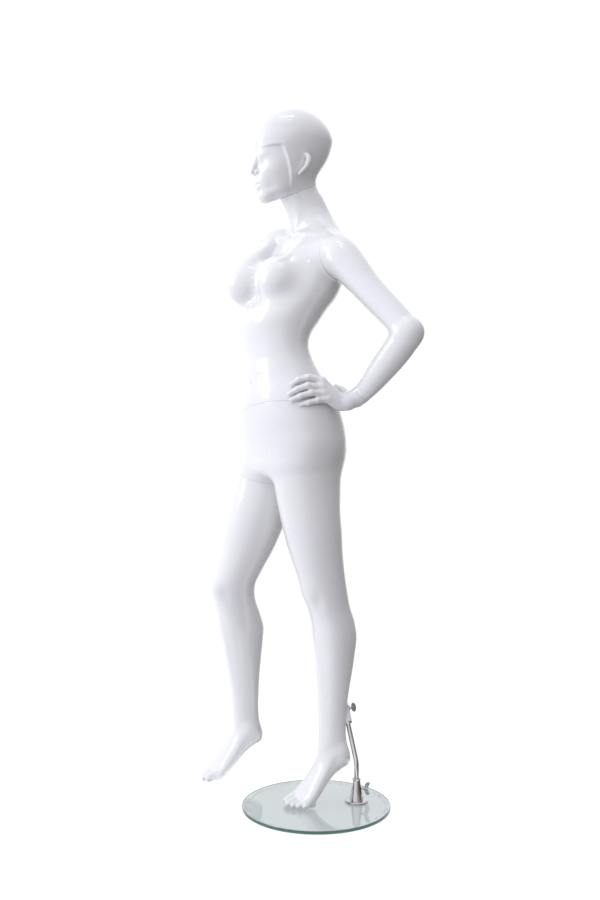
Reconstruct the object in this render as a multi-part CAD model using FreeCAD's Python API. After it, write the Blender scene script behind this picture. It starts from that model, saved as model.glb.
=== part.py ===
"""Full body display mannequin on a round glass base with a calf rod.

Units are millimetres. +Z is up, the figure faces -Y and her left side is +X.
The origin is the centre of the base's underside, on the floor.
"""
import FreeCAD, Part
import math
import os
from FreeCAD import Vector

# ---------------------------------------------------------------- base and stand
GLASS_RADIUS = 190.0
GLASS_THICKNESS = 8.0
GLASS_EDGE = 1.2
GRIP_HEIGHT = 3.0
GRIP_OUTER = 184.0
GRIP_INNER = 174.0
GLASS_TOP = GRIP_HEIGHT + GLASS_THICKNESS

SOCKET_X = 37.0
SOCKET_Y = 99.0
FLANGE_RADIUS = 30.0
FLANGE_THICKNESS = 3.5
FLANGE_CHAMFER = 1.2
GASKET_THICKNESS = 1.0
CONE_RADIUS_BOTTOM = 17.5
CONE_RADIUS_TOP = 9.8
CONE_HEIGHT = 54.0
RIM_RADIUS = 11.0
RIM_HEIGHT = 5.0
ROD_RADIUS = 6.0
ROD_CLEARANCE = 0.08
ROD_SEAT_HEIGHT = 24.0
BOLT_RADIUS = 5.0
BOLT_HEAD_RADIUS = 13.0
BOLT_HEAD_THICKNESS = 1.7
HEX_DRIVE_RADIUS = 3.0
HEX_DRIVE_DEPTH = 4.0
WASHER_RADIUS = 15.0
WASHER_THICKNESS = 0.9
STAND_SCREW_HEIGHT = 33.0
STAND_SCREW_AZIMUTH = 60.0
SOCKET_SCREW_STEM = 13.0
SOCKET_SCREW_SPAN = 42.0
SOCKET_HUB_RADIUS = 6.0
SOCKET_HUB_LENGTH = 9.0
HUB_TAPER = 0.8
SCREW_TIP_GAP = 0.3
SCREW_HOLE_CLEARANCE = 0.3
SCREW_STEM_RADIUS = 3.0
WING_THICKNESS = 3.0

ROD_BEND_START = 100.0
ROD_BEND_RADIUS = 70.0
ROD_LEAN_DEG = 19.0
ROD_LEAN_AZIMUTH = 190.0
ROD_UPPER_LENGTH = 195.0

# ---------------------------------------------------------------- body shells
WALL = 4.0
BULKHEAD = 9.0
SEAM_GAP = 0.3
PLATE_THICKNESS = 3.0
FIT_CLEARANCE = 0.3
SCREW_SHANK = 1.7
SCREW_HEAD = 3.4
SCREW_LENGTH = 8.0
RING_POINTS = 16
BONE_SLIMNESS = 0.97

# Horizontal sections of trunk and thighs: height, centre x, centre y, half width, front, back, squareness.
PELVIS = [
    (838, -102, -24, 146, 96, 100, 2.3),
    (870, -101, -22, 164, 107, 112, 2.3),
    (901, -100, -16, 170, 110, 118, 2.3),
    (933, -100, -14, 171, 114, 120, 2.3),
    (964, -100, -15, 170, 119, 121, 2.2),
    (996, -100, -20, 167, 119, 119, 2.2),
    (1028, -100, -24, 162, 118, 114, 2.1),
    (1060, -100, -30, 153, 112, 107, 2.1),
]
TRUNK = [
    (970, -100, -16, 170, 119, 121, 2.2),
    (996, -100, -20, 167, 119, 119, 2.2),
    (1028, -100, -24, 162, 118, 114, 2.1),
    (1060, -100, -30, 152, 111, 106, 2.1),
    (1092, -100, -40, 139, 98, 96, 2.1),
    (1124, -100, -50, 126, 88, 84, 2.1),
    (1154, -100, -58, 117, 80, 77, 2.1),
    (1186, -99, -65, 113, 77, 74, 2.1),
    (1217, -98, -64, 117, 84, 80, 2.1),
    (1248, -97, -54, 124, 92, 90, 2.2),
    (1280, -96, -38, 131, 98, 96, 2.2),
    (1312, -95, -18, 137, 94, 102, 2.2),
    (1343, -94, -4, 141, 95, 102, 2.2),
    (1375, -93, 8, 146, 94, 99, 2.3),
    (1406, -92, 16, 152, 88, 92, 2.4),
    (1432, -92, 22, 150, 76, 82, 2.3),
    (1455, -92, 26, 132, 62, 68, 2.1),
    (1478, -91, 30, 112, 53, 60, 2.0),
    (1500, -90, 33, 80, 49, 56, 2.0),
    (1522, -90, 33, 60, 48, 55, 2.0),
    (1545, -91, 26, 50, 49, 51, 2.0),
    (1570, -91, 12, 49, 51, 52, 2.0),
    (1600, -91, -2, 49, 52, 54, 2.0),
    (1625, -91, -8, 49, 52, 54, 2.0),
]
# Breasts: centre, half width, half depth, half height.
BREAST_LEFT = ((-30, -94, 1347), 60, 62, 67)
BREAST_RIGHT = ((-160, -104, 1349), 60, 62, 67)

# Legs, hip to ankle: centre x, y, z, half width, front, back.
LEFT_LEG = [
    (-28, -20, 930, 84, 88, 90),
    (-26, -16, 870, 80, 90, 92),
    (-23, -12, 820, 77, 87, 88),
    (-22, -4, 760, 77, 83, 78),
    (-20, 6, 700, 73, 79, 72),
    (-19, 18, 640, 66, 74, 64),
    (-18, 30, 590, 59, 67, 57),
    (-18, 38, 550, 54, 60, 55),
    (-18, 46, 510, 51, 52, 55),
    (-18, 54, 470, 53, 49, 62),
    (-18, 58, 430, 54, 48, 66),
    (-18, 60, 390, 51, 45, 63),
    (-18, 61, 340, 45, 43, 54),
    (-16, 60, 290, 39, 40, 44),
    (-13, 58, 240, 34, 38, 37),
    (-10, 57, 195, 31, 38, 34),
    (-8, 58, 160, 32, 39, 34),
    (-7, 60, 125, 29, 40, 32),
]
RIGHT_LEG = [
    (-172, -24, 930, 80, 82, 86),
    (-181, -32, 870, 83, 86, 89),
    (-190, -42, 820, 81, 85, 87),
    (-199, -58, 760, 78, 80, 82),
    (-211, -74, 700, 74, 75, 77),
    (-224, -90, 640, 67, 69, 69),
    (-236, -104, 590, 59, 64, 61),
    (-246, -113, 550, 54, 62, 56),
    (-254, -110, 510, 51, 55, 57),
    (-262, -100, 470, 53, 52, 65),
    (-270, -90, 430, 54, 52, 71),
    (-278, -80, 390, 51, 49, 68),
    (-286, -70, 340, 45, 46, 57),
    (-293, -60, 290, 39, 43, 46),
    (-300, -51, 240, 34, 41, 38),
    (-305, -45, 195, 31, 42, 34),
    (-308, -41, 160, 32, 44, 34),
    (-310, -38, 125, 29, 45, 31),
]
# A foot on its toes, heel to toe: offset forward of the heel, sole height, top height, half width, sideways.
FOOT = [
    (0, 92, 118, 13, 0),
    (8, 80, 130, 24, 0),
    (26, 71, 142, 30, 0),
    (50, 60, 142, 31, 0),
    (78, 38, 116, 33, 1),
    (104, 14, 80, 38, 3),
    (126, 1, 55, 42, 4),
    (146, 0.5, 36, 42, 1),
    (163, 0.5, 25, 35, -6),
    (174, 2, 17, 22, -14),
]
LEFT_HEEL = (-6, 99)
RIGHT_HEEL = (-310, 2)
FOOT_CLEARANCE = 0.6

# Head: height, centre y, half width, front, back.
HEAD_TILT_X = -91
HEAD = [
    (1566, -76, 20, 26, 26),
    (1576, -66, 36, 44, 44),
    (1596, -52, 50, 62, 71),
    (1620, -44, 59, 77, 77),
    (1648, -36, 67, 87, 82),
    (1680, -27, 73, 98, 96),
    (1710, -22, 77, 106, 107),
    (1740, -20, 77, 107, 110),
    (1765, -19, 72, 96, 104),
    (1787, -16, 61, 78, 87),
    (1804, -12, 42, 54, 61),
    (1813, -9, 18, 24, 27),
]
NOSE = ((-91, -116, 1690), (-91, -131, 1660))

# Arms, shoulder to wrist: centre and radius.
LEFT_UPPER_ARM = [
    (8, 30, 1438, 36),
    (36, 34, 1430, 46),
    (64, 40, 1409, 49),
    (96, 51, 1375, 44),
    (134, 65, 1331, 39),
    (174, 82, 1288, 37),
    (214, 99, 1245, 36),
    (243, 111, 1213, 35),
]
LEFT_ELBOW = ((246, 112, 1207), 35.5)
LEFT_FOREARM = [
    (246, 112, 1207, 35),
    (222, 105, 1181, 38),
    (192, 97, 1150, 37),
    (162, 88, 1120, 33),
    (130, 78, 1087, 27),
    (106, 71, 1063, 24),
    (88, 65, 1045, 23),
]
RIGHT_ARM = [
    (-186, 8, 1484, 34),
    (-214, 8, 1476, 46),
    (-238, 10, 1458, 49),
    (-255, 12, 1424, 44),
    (-264, 15, 1380, 39),
    (-271, 18, 1330, 36.5),
    (-278, 21, 1275, 35.5),
    (-285, 23, 1220, 34.5),
    (-290, 22, 1182, 34),
    (-295, 17, 1145, 35.5),
    (-300, 9, 1105, 34),
    (-304, 1, 1060, 29),
    (-308, -6, 1015, 24.5),
    (-311, -11, 975, 23),
]

# Seams: a point on the plane, the direction that points to the piece that comes off,
# and the reach of the cut.
WAIST_SEAM = (Vector(-100, -20, 1005), Vector(-0.155, 0.19, 1.0), 2600.0)
NECK_SEAM = (Vector(-91, 2, 1597), Vector(0.0, -0.42, 1.0), 600.0)
THIGH_SEAM = (Vector(-184, -36, 850), Vector(-0.28, 0.0, -0.96), 2600.0)
LEFT_SHOULDER_SEAM = (Vector(38, 34, 1424), Vector(0.97, 0.16, 0.18), 320.0)
RIGHT_SHOULDER_SEAM = (Vector(-220, 9, 1452), Vector(-0.97, 0.02, 0.18), 320.0)
LEFT_WRIST_SEAM = (Vector(104, 70, 1061), Vector(-0.70, -0.24, -0.70), 160.0)
RIGHT_WRIST_SEAM = (Vector(-310.0, -8, 1000), Vector(-0.05, -0.15, -0.99), 160.0)


def ring(centre, axis, front, half_width, forward, backward, power=2.0):
    """One closed section: half_width to each side, forward and backward along the front direction."""
    axis = Vector(axis).normalize()
    front = Vector(front)
    front = (front - axis * front.dot(axis)).normalize()
    side = front.cross(axis)
    points = []
    for k in range(RING_POINTS):
        angle = 2.0 * math.pi * k / RING_POINTS
        across = math.copysign(abs(math.cos(angle)) ** (2.0 / power), math.cos(angle))
        along = math.copysign(abs(math.sin(angle)) ** (2.0 / power), math.sin(angle))
        depth = forward if along > 0 else backward
        points.append(Vector(centre) + side * (across * half_width) + front * (along * depth))
    curve = Part.BSplineCurve()
    curve.interpolate(Points=points, PeriodicFlag=True)
    return Part.Wire([curve.toShape()])


def loft(rings):
    return Part.makeLoft(rings, True, False)


def level_loft(sections, inset=0.0):
    """Loft of horizontal sections, drawn in by inset for the inside of a shell."""
    rings = []
    for height, x, y, half_width, forward, backward, power in sections:
        sizes = (half_width - inset, forward - inset, backward - inset)
        rings.append(ring((x, y, height), (0, 0, 1), (0, -1, 0), *sizes, power))
    return loft(rings)


def leg_loft(stations, inset=0.0, lowest=0.0):
    rings = []
    for x, y, z, half_width, forward, backward in stations:
        if z < lowest:
            continue
        sizes = (half_width - inset, forward - inset, backward - inset)
        rings.append(ring((x, y, z), (0, 0, 1), (0, -1, 0), *sizes))
    return loft(rings)


def bent_arm(upper, elbow, forearm, inset=0.0):
    """Upper arm and forearm lofts that meet in a ball at the elbow."""
    centre, radius = elbow
    ball = Part.makeSphere(radius - inset, Vector(*centre))
    return path_loft(upper, inset).fuse([path_loft(forearm, inset), ball])


def path_loft(stations, inset=0.0, front=(0, -1, 0)):
    """Loft along a bent path of centres, each section square to the path."""
    centres = [Vector(*station[:3]) for station in stations]
    rings = []
    for k, station in enumerate(stations):
        before = centres[max(k - 1, 0)]
        after = centres[min(k + 1, len(centres) - 1)]
        radius = station[3] - inset
        rings.append(ring(centres[k], after - before, front, radius, radius, radius))
    return loft(rings)


def foot_loft(heel, turned):
    """A foot on its toes; turned is +1 when the big toe is on the -X side, as on a left foot."""
    rings = []
    for forward, sole, top, half_width, sideways in FOOT:
        low = GLASS_TOP + FOOT_CLEARANCE + sole
        high = GLASS_TOP + FOOT_CLEARANCE + top
        middle = 0.5 * (low + high)
        half_height = 0.5 * (high - low)
        centre = (heel[0] + turned * sideways, heel[1] - forward, middle)
        rings.append(ring(centre, (0, -1, 0), (0, 0, 1), half_width, half_height, half_height, 2.3))
    return loft(rings)


def ellipsoid(centre, half_x, half_y, half_z):
    ball = Part.makeSphere(1.0).toNurbs()
    matrix = FreeCAD.Matrix()
    matrix.scale(half_x, half_y, half_z)
    ball = ball.transformGeometry(matrix)
    ball.translate(Vector(*centre))
    return ball


def capsule(start, end, radius_start, radius_end):
    """A finger bone: two balls and a cone between them that is slightly slimmer than the joints."""
    start = Vector(*start)
    end = Vector(*end)
    length = (end - start).Length
    lean = (radius_start - radius_end) / length
    cosine = BONE_SLIMNESS * math.sqrt(1.0 - lean * lean)
    foot = start + (end - start) * (radius_start * lean / length)
    head = end + (end - start) * (radius_end * lean / length)
    cone = rod_between(foot, head, radius_start * cosine, radius_end * cosine)
    return cone.fuse([Part.makeSphere(radius_start, start), Part.makeSphere(radius_end, end)])


def rod_between(start, end, radius_start, radius_end=None):
    direction = end - start
    if radius_end is None or abs(radius_end - radius_start) < 1e-6:
        return Part.makeCylinder(radius_start, direction.Length, start, direction)
    return Part.makeCone(radius_start, radius_end, direction.Length, start, direction)


def beyond(seam, offset=0.0):
    """The far side of a seam plane, as a block as wide as the seam's reach."""
    point, normal, size = seam
    normal = Vector(normal).normalize()
    start = point + normal * offset
    block = Part.makeBox(size, size, size, Vector(-size / 2, -size / 2, 0))
    block.Placement = FreeCAD.Placement(start, FreeCAD.Rotation(Vector(0, 0, 1), normal))
    return block


def flipped(seam):
    return (seam[0], Vector(seam[1]) * -1.0, seam[2])


def inside_of(shape, seams, offset):
    """Keeps the part of a shape that lies short of every seam, by offset."""
    for seam in seams:
        shape = shape.cut(beyond(seam, -offset))
    return shape


def shell(outer, inner, seams):
    """A hollow shell closed by a flat bulkhead at each seam."""
    skin = inside_of(outer, seams, SEAM_GAP / 2.0)
    hollow = inside_of(inner, seams, BULKHEAD)
    return skin.cut(hollow)


class Fitting:
    """A steel plate let into one side of a seam, with its screws and a socket tube or a peg."""

    def __init__(self, seam, plate_radius, peg_radius, depth, peg, turn=0.0):
        self.origin = seam[0]
        self.axis = Vector(seam[1]).normalize()
        self.plate_radius = plate_radius
        self.peg_radius = peg_radius
        self.depth = depth
        self.peg = peg
        self.turn = turn
        self.outward = self.axis * (-1.0 if peg else 1.0)
        self.face = self.origin - self.outward * (SEAM_GAP / 2.0)

    def inward(self, distance):
        return self.face - self.outward * distance

    def cylinder(self, radius, near, far):
        start = self.inward(near)
        return rod_between(start, self.inward(far), radius)

    def screw_centres(self):
        helper = Vector(0, 1, 0) if abs(self.outward.y) < 0.8 else Vector(1, 0, 0)
        across = self.outward.cross(helper).normalize()
        along = self.outward.cross(across)
        ring_radius = 0.5 * (self.plate_radius + self.peg_radius + 3.0)
        centres = []
        for k in range(3):
            angle = math.radians(self.turn + 120.0 * k)
            centres.append(across * (ring_radius * math.cos(angle)) + along * (ring_radius * math.sin(angle)))
        return centres

    def screw(self, centre, grow=0.0):
        head_start = self.inward(-grow) + centre
        head = rod_between(head_start, self.inward(1.8) + centre, SCREW_HEAD + grow)
        shank_end = self.inward(SCREW_LENGTH + grow) + centre
        shank = rod_between(self.inward(1.0) + centre, shank_end, SCREW_SHANK + grow)
        return head.fuse(shank)

    def screws(self):
        return Part.makeCompound([self.screw(centre) for centre in self.screw_centres()])

    def plate(self):
        body = self.cylinder(self.plate_radius, 0.0, PLATE_THICKNESS)
        if self.peg:
            tip = self.inward(-(self.depth - 4.0))
            body = body.fuse(rod_between(self.inward(0.5), tip, self.peg_radius))
        else:
            body = body.fuse(self.cylinder(self.peg_radius + 3.0, 0.0, self.depth + 2.0))
            body = body.cut(self.cylinder(self.peg_radius + FIT_CLEARANCE, -1.0, self.depth))
        for centre in self.screw_centres():
            body = body.cut(self.screw(centre, 0.05))
        return body

    def cut_pocket(self, skin):
        """Makes room in the bulkhead for the plate, the socket tube and the screws."""
        skin = skin.cut(self.cylinder(self.plate_radius + 0.1, -1.0, PLATE_THICKNESS))
        if not self.peg:
            skin = skin.cut(self.cylinder(self.peg_radius + 3.1, -1.0, self.depth + 2.1))
        for centre in self.screw_centres():
            skin = skin.cut(self.screw(centre, 0.05))
        return skin


def seam_pair(seam, plate_radius, peg_radius, depth, turn=0.0):
    """The socket on the side that stays and the peg on the side that comes off."""
    socket = Fitting(seam, plate_radius, peg_radius, depth, False, turn)
    peg = Fitting(seam, plate_radius, peg_radius, depth, True, turn)
    return socket, peg


def export(shape, node):
    solids = shape.Solids
    if len(solids) == 1:
        shape = solids[0]
    shape.exportStep("parts/" + node + ".step")
    print(node, len(solids), round(shape.Volume), shape.isValid())


# ---------------------------------------------------------------- stand parts
def glass_disc():
    disc = Part.makeCylinder(GLASS_RADIUS, GLASS_THICKNESS, Vector(0, 0, GRIP_HEIGHT))
    disc = disc.makeChamfer(GLASS_EDGE, [edge for edge in disc.Edges if edge.Closed])
    hole = Part.makeCylinder(BOLT_RADIUS + 1.0, 40, Vector(SOCKET_X, SOCKET_Y, -10))
    return disc.cut(hole)


def grip_ring():
    outer = Part.makeCylinder(GRIP_OUTER, GRIP_HEIGHT)
    return outer.cut(Part.makeCylinder(GRIP_INNER, GRIP_HEIGHT))


def upper_rod_direction():
    lean = math.radians(ROD_LEAN_DEG)
    azimuth = math.radians(ROD_LEAN_AZIMUTH)
    return Vector(math.sin(lean) * math.cos(azimuth), math.sin(lean) * math.sin(azimuth), math.cos(lean))


def rod_bend_end():
    """Where the bend ends and the straight upper length begins."""
    lean = math.radians(ROD_LEAN_DEG)
    azimuth = math.radians(ROD_LEAN_AZIMUTH)
    run = ROD_BEND_RADIUS * (1.0 - math.cos(lean))
    rise = ROD_BEND_RADIUS * math.sin(lean)
    end_x = SOCKET_X + run * math.cos(azimuth)
    end_y = SOCKET_Y + run * math.sin(azimuth)
    return Vector(end_x, end_y, ROD_BEND_START + rise)


def rod_path():
    lean = math.radians(ROD_LEAN_DEG)
    azimuth = math.radians(ROD_LEAN_AZIMUTH)
    low = Vector(SOCKET_X, SOCKET_Y, GLASS_TOP + ROD_SEAT_HEIGHT)
    bend = Vector(SOCKET_X, SOCKET_Y, ROD_BEND_START)
    half_run = ROD_BEND_RADIUS * (1.0 - math.cos(lean / 2.0))
    half_rise = ROD_BEND_RADIUS * math.sin(lean / 2.0)
    middle = bend + Vector(half_run * math.cos(azimuth), half_run * math.sin(azimuth), half_rise)
    end = rod_bend_end()
    top = end + upper_rod_direction() * ROD_UPPER_LENGTH
    edges = [Part.LineSegment(low, bend).toShape(), Part.Arc(bend, middle, end).toShape()]
    edges.append(Part.LineSegment(end, top).toShape())
    return Part.Wire(edges)


def calf_rod():
    start = Vector(SOCKET_X, SOCKET_Y, GLASS_TOP + ROD_SEAT_HEIGHT)
    circle = Part.Wire([Part.makeCircle(ROD_RADIUS, start, Vector(0, 0, 1))])
    return rod_path().makePipeShell([circle], True, True)


def socket_cone():
    base = GLASS_TOP + GASKET_THICKNESS
    centre = Vector(SOCKET_X, SOCKET_Y, base)
    body = Part.makeCylinder(FLANGE_RADIUS, FLANGE_THICKNESS, centre)
    top_edges = [edge for edge in body.Edges if edge.Closed and edge.CenterOfMass.z > base + 1]
    body = body.makeChamfer(FLANGE_CHAMFER, top_edges)
    cone = Part.makeCone(CONE_RADIUS_BOTTOM, CONE_RADIUS_TOP, CONE_HEIGHT, centre)
    rim = Part.makeCylinder(RIM_RADIUS, RIM_HEIGHT, centre + Vector(0, 0, CONE_HEIGHT - 0.5))
    rim = rim.makeFillet(1.2, [edge for edge in rim.Edges if edge.Closed])
    body = body.fuse([cone, rim])
    bore_start = Vector(SOCKET_X, SOCKET_Y, GLASS_TOP + ROD_SEAT_HEIGHT)
    body = body.cut(Part.makeCylinder(ROD_RADIUS + ROD_CLEARANCE, 80, bore_start))
    thread = Part.makeCylinder(BOLT_RADIUS, 16, centre - Vector(0, 0, 1))
    body = body.cut(thread)
    side = stand_screw_direction()
    hole_start = Vector(SOCKET_X, SOCKET_Y, GLASS_TOP + STAND_SCREW_HEIGHT)
    return body.cut(rod_between(hole_start, hole_start + side * 40, SCREW_STEM_RADIUS + SCREW_HOLE_CLEARANCE))


def stand_screw_direction():
    angle = math.radians(STAND_SCREW_AZIMUTH)
    return Vector(math.cos(angle), math.sin(angle), 0)


def gasket():
    centre = Vector(SOCKET_X, SOCKET_Y, GLASS_TOP)
    outer = Part.makeCylinder(FLANGE_RADIUS - 1.0, GASKET_THICKNESS, centre)
    return outer.cut(Part.makeCylinder(BOLT_RADIUS + 1.0, GASKET_THICKNESS, centre))


def bolt_washer():
    low = Vector(SOCKET_X, SOCKET_Y, GRIP_HEIGHT - WASHER_THICKNESS)
    outer = Part.makeCylinder(WASHER_RADIUS, WASHER_THICKNESS, low)
    return outer.cut(Part.makeCylinder(BOLT_RADIUS + 0.3, WASHER_THICKNESS, low))


def socket_bolt():
    head_low = GRIP_HEIGHT - WASHER_THICKNESS - BOLT_HEAD_THICKNESS
    low = Vector(SOCKET_X, SOCKET_Y, head_low)
    head = Part.makeCylinder(BOLT_HEAD_RADIUS, BOLT_HEAD_THICKNESS, low)
    shank = Part.makeCylinder(BOLT_RADIUS, GLASS_TOP + 15 - head_low, low)
    corners = []
    for k in range(7):
        angle = math.radians(60 * k)
        corners.append(low + Vector(math.cos(angle), math.sin(angle), 0) * HEX_DRIVE_RADIUS)
    drive = Part.Face(Part.makePolygon(corners)).extrude(Vector(0, 0, HEX_DRIVE_DEPTH))
    return head.fuse(shank).cut(drive)


def screw_stem(tip, direction, stem_radius, length, hub_radius, hub_length):
    """Threaded stem with a tapered hub on its outer end."""
    hub_start = tip + direction * length
    stem = rod_between(tip, hub_start + direction * 2.0, stem_radius)
    hub_end = hub_start + direction * hub_length
    return stem.fuse(rod_between(hub_start, hub_end, hub_radius, HUB_TAPER * hub_radius))


def ear_plate(centre, across, along, outline, thickness):
    """A flat plate of even thickness, its outline given in the two directions."""
    normal = across.cross(along).normalize()
    points = [centre + across * a + along * b - normal * (thickness / 2.0) for a, b in outline]
    curve = Part.BSplineCurve()
    curve.interpolate(Points=points, PeriodicFlag=True)
    return Part.Face(Part.Wire([curve.toShape()])).extrude(normal * thickness)


# One ear of the socket's wing screw: distance across from the stem, distance along it.
EAR_OUTLINE = [
    (2.0, 1.0),
    (10.0, 2.0),
    (18.0, 5.0),
    (SOCKET_SCREW_SPAN / 2.0, 10.0),
    (19.0, 14.5),
    (12.0, 13.0),
    (2.0, 7.5),
]


def butterfly_screw(tip, direction, upright):
    """Wing screw of the socket: two rounded ears that rise behind the hub."""
    hub_start = tip + direction * SOCKET_SCREW_STEM
    body = screw_stem(tip, direction, SCREW_STEM_RADIUS, SOCKET_SCREW_STEM,
                      SOCKET_HUB_RADIUS, SOCKET_HUB_LENGTH)
    for sign in (1, -1):
        outline = [(sign * across, along) for across, along in EAR_OUTLINE]
        body = body.fuse(ear_plate(hub_start, upright, direction, outline, WING_THICKNESS))
    return body


def oval_tab_screw(tip, direction, upright):
    """Thumb screw of the calf: one oval tab across the end of the stem."""
    body = screw_stem(tip, direction, SCREW_STEM_RADIUS, CALF_SCREW_STEM, CALF_HUB_RADIUS, CALF_HUB_LENGTH)
    centre = tip + direction * (CALF_SCREW_STEM + 0.5 * TAB_WIDTH)
    outline = []
    for k in range(TAB_POINTS):
        angle = 2.0 * math.pi * k / TAB_POINTS
        outline.append((0.5 * TAB_HEIGHT * math.cos(angle), 0.5 * TAB_WIDTH * math.sin(angle)))
    return body.fuse(ear_plate(centre, upright, direction, outline, WING_THICKNESS))


# ---------------------------------------------------------------- calf fitting
CALF_TUBE_WALL = 2.0
CALF_TUBE_START = 92.0
CALF_BOSS_WALL = 3.5
CALF_SCREW_ALONG = 124.0
CALF_SCREW_RADIUS = SCREW_STEM_RADIUS
CALF_SCREW_STEM = 11.0
CALF_HUB_RADIUS = 4.5
CALF_HUB_LENGTH = 5.0
TAB_HEIGHT = 24.0
TAB_WIDTH = 13.0
TAB_POINTS = 12
CALF_TUBE_TOP = 4.0
CALF_TUBE_CLEARANCE = 0.1
CALF_NUT_RADIUS = 7.0
CALF_NUT_HEIGHT = 5.0
FERRULE_LENGTH = 6.0
FERRULE_WIDTH = 5.0
FERRULE_CLEARANCE = 0.1
FERRULE_BORE_CLEARANCE = 0.4


def rod_point(distance):
    """A point on the axis of the rod's straight upper length."""
    return rod_bend_end() + upper_rod_direction() * distance


def calf_screw_direction():
    axis = upper_rod_direction()
    outward = Vector(0.33, 0.944, 0.0)
    return (outward - axis * outward.dot(axis)).normalize()


def calf_tube():
    """Steel tube inside the calf, closed at the top by the plate that rests on the rod's end."""
    bore = ROD_RADIUS + ROD_CLEARANCE
    start = rod_point(CALF_TUBE_START)
    stop = rod_point(ROD_UPPER_LENGTH)
    top = rod_point(ROD_UPPER_LENGTH + CALF_TUBE_TOP)
    body = rod_between(start, top, bore + CALF_TUBE_WALL)
    body = body.cut(rod_between(rod_point(CALF_TUBE_START - 5.0), stop, bore))
    hole_start = rod_point(CALF_SCREW_ALONG)
    hole_end = hole_start + calf_screw_direction() * 30
    return body.cut(rod_between(hole_start, hole_end, CALF_SCREW_RADIUS + SCREW_HOLE_CLEARANCE))


def calf_nut():
    """Nut welded to the tube for the wing screw."""
    centre = rod_point(CALF_SCREW_ALONG)
    side = calf_screw_direction()
    near = ROD_RADIUS + ROD_CLEARANCE + CALF_TUBE_WALL
    body = rod_between(centre, centre + side * (near + CALF_NUT_HEIGHT), CALF_NUT_RADIUS)
    body = body.cut(rod_between(rod_point(CALF_SCREW_ALONG - 30), rod_point(CALF_SCREW_ALONG + 30), near))
    return body.cut(rod_between(centre, centre + side * 40, CALF_SCREW_RADIUS + SCREW_HOLE_CLEARANCE))


# ---------------------------------------------------------------- hands
# Each finger: knuckle, middle joint, last joint and tip, then the radius at the knuckle and at the tip.
LEFT_PALM = [
    (108, 72, 1064, 23, 19),
    (94, 61, 1051, 26, 17),
    (84, 42, 1043, 31, 15),
    (78, 22, 1050, 38, 13.5),
    (73, 2, 1060, 40, 12),
    (68, -18, 1070, 38, 10.5),
    (63, -30, 1076, 34, 8.5),
]
LEFT_FINGERS = {
    "index": ((64, -26, 1104), (57, -58, 1103), (46, -78, 1094), (36, -92, 1082), 8.6, 6.2),
    "middle": ((68, -28, 1084), (62, -62, 1080), (50, -84, 1069), (38, -100, 1056), 8.8, 6.4),
    "ring": ((71, -24, 1065), (67, -56, 1061), (56, -79, 1052), (43, -96, 1042), 8.6, 6.2),
    "little": ((74, -14, 1048), (73, -40, 1043), (66, -60, 1036), (56, -75, 1030), 8.0, 5.8),
    "thumb": ((88, 42, 1046), (77, 54, 1056), (63, 52, 1066), (48, 43, 1073), 10.5, 7.4),
}
RIGHT_PALM = [
    (-309, -5, 1022, 23, 21),
    (-310, -8, 1000, 23, 19),
    (-311, -11, 978, 25, 17),
    (-313, -14, 955, 32, 15),
    (-315, -18, 930, 37, 13.5),
    (-317, -22, 905, 38, 12),
    (-318, -25, 886, 36, 10.5),
    (-318.5, -26, 873, 31, 8.5),
]
RIGHT_FINGERS = {
    "index": ((-316, -48, 889), (-313, -52, 846), (-309, -52, 820), (-304, -50, 799), 8.6, 6.2),
    "middle": ((-318, -31, 887), (-315, -32, 838), (-310, -31, 809), (-304, -28, 786), 8.8, 6.4),
    "ring": ((-318, -13, 888), (-315, -14, 843), (-310, -13, 815), (-304, -9, 794), 8.6, 6.2),
    "little": ((-317, 4, 892), (-314, 7.5, 856), (-310, 10, 834), (-305, 13, 817), 8.0, 5.8),
    "thumb": ((-309, -30, 958), (-302, -44, 932), (-298, -52, 908), (-296, -56, 888), 11.0, 7.4),
}


def palm_loft(stations, thin):
    """A palm: each section is wide across the knuckles and thin along the given direction."""
    centres = [Vector(*station[:3]) for station in stations]
    rings = []
    for k, station in enumerate(stations):
        before = centres[max(k - 1, 0)]
        after = centres[min(k + 1, len(centres) - 1)]
        rings.append(ring(centres[k], after - before, thin, station[3], station[4], station[4], 2.4))
    return loft(rings)


def hand(palm, fingers, thin, seam):
    shape = palm_loft(palm, thin).cut(beyond(flipped(seam), -SEAM_GAP / 2.0))
    for knuckle, middle, last, tip, root_radius, tip_radius in fingers.values():
        step = (root_radius - tip_radius) / 3.0
        bones = [(knuckle, middle), (middle, last), (last, tip)]
        for k, (start, end) in enumerate(bones):
            shape = shape.fuse(capsule(start, end, root_radius - k * step, root_radius - (k + 1) * step))
    return shape


# ---------------------------------------------------------------- shells
def trunk_shell(fittings):
    seams = [flipped(WAIST_SEAM), NECK_SEAM, LEFT_SHOULDER_SEAM, RIGHT_SHOULDER_SEAM]
    outer = level_loft(TRUNK)
    inner = level_loft(TRUNK, WALL)
    for (centre, half_x, half_y, half_z) in (BREAST_LEFT, BREAST_RIGHT):
        outer = outer.fuse(ellipsoid(centre, half_x, half_y, half_z))
        inner = inner.fuse(ellipsoid(centre, half_x - WALL, half_y - WALL, half_z - WALL))
    outer = outer.fuse([path_loft(LEFT_UPPER_ARM[:4]), path_loft(RIGHT_ARM[:4])])
    inner = inner.fuse([path_loft(LEFT_UPPER_ARM[:4], WALL), path_loft(RIGHT_ARM[:4], WALL)])
    skin = shell(outer, inner, seams)
    for fitting in fittings:
        skin = fitting.cut_pocket(skin)
    return skin


def arm_shell(outer, inner, shoulder_seam, wrist_seam, fittings):
    skin = shell(outer, inner, [flipped(shoulder_seam), wrist_seam])
    for fitting in fittings:
        skin = fitting.cut_pocket(skin)
    return skin


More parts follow.
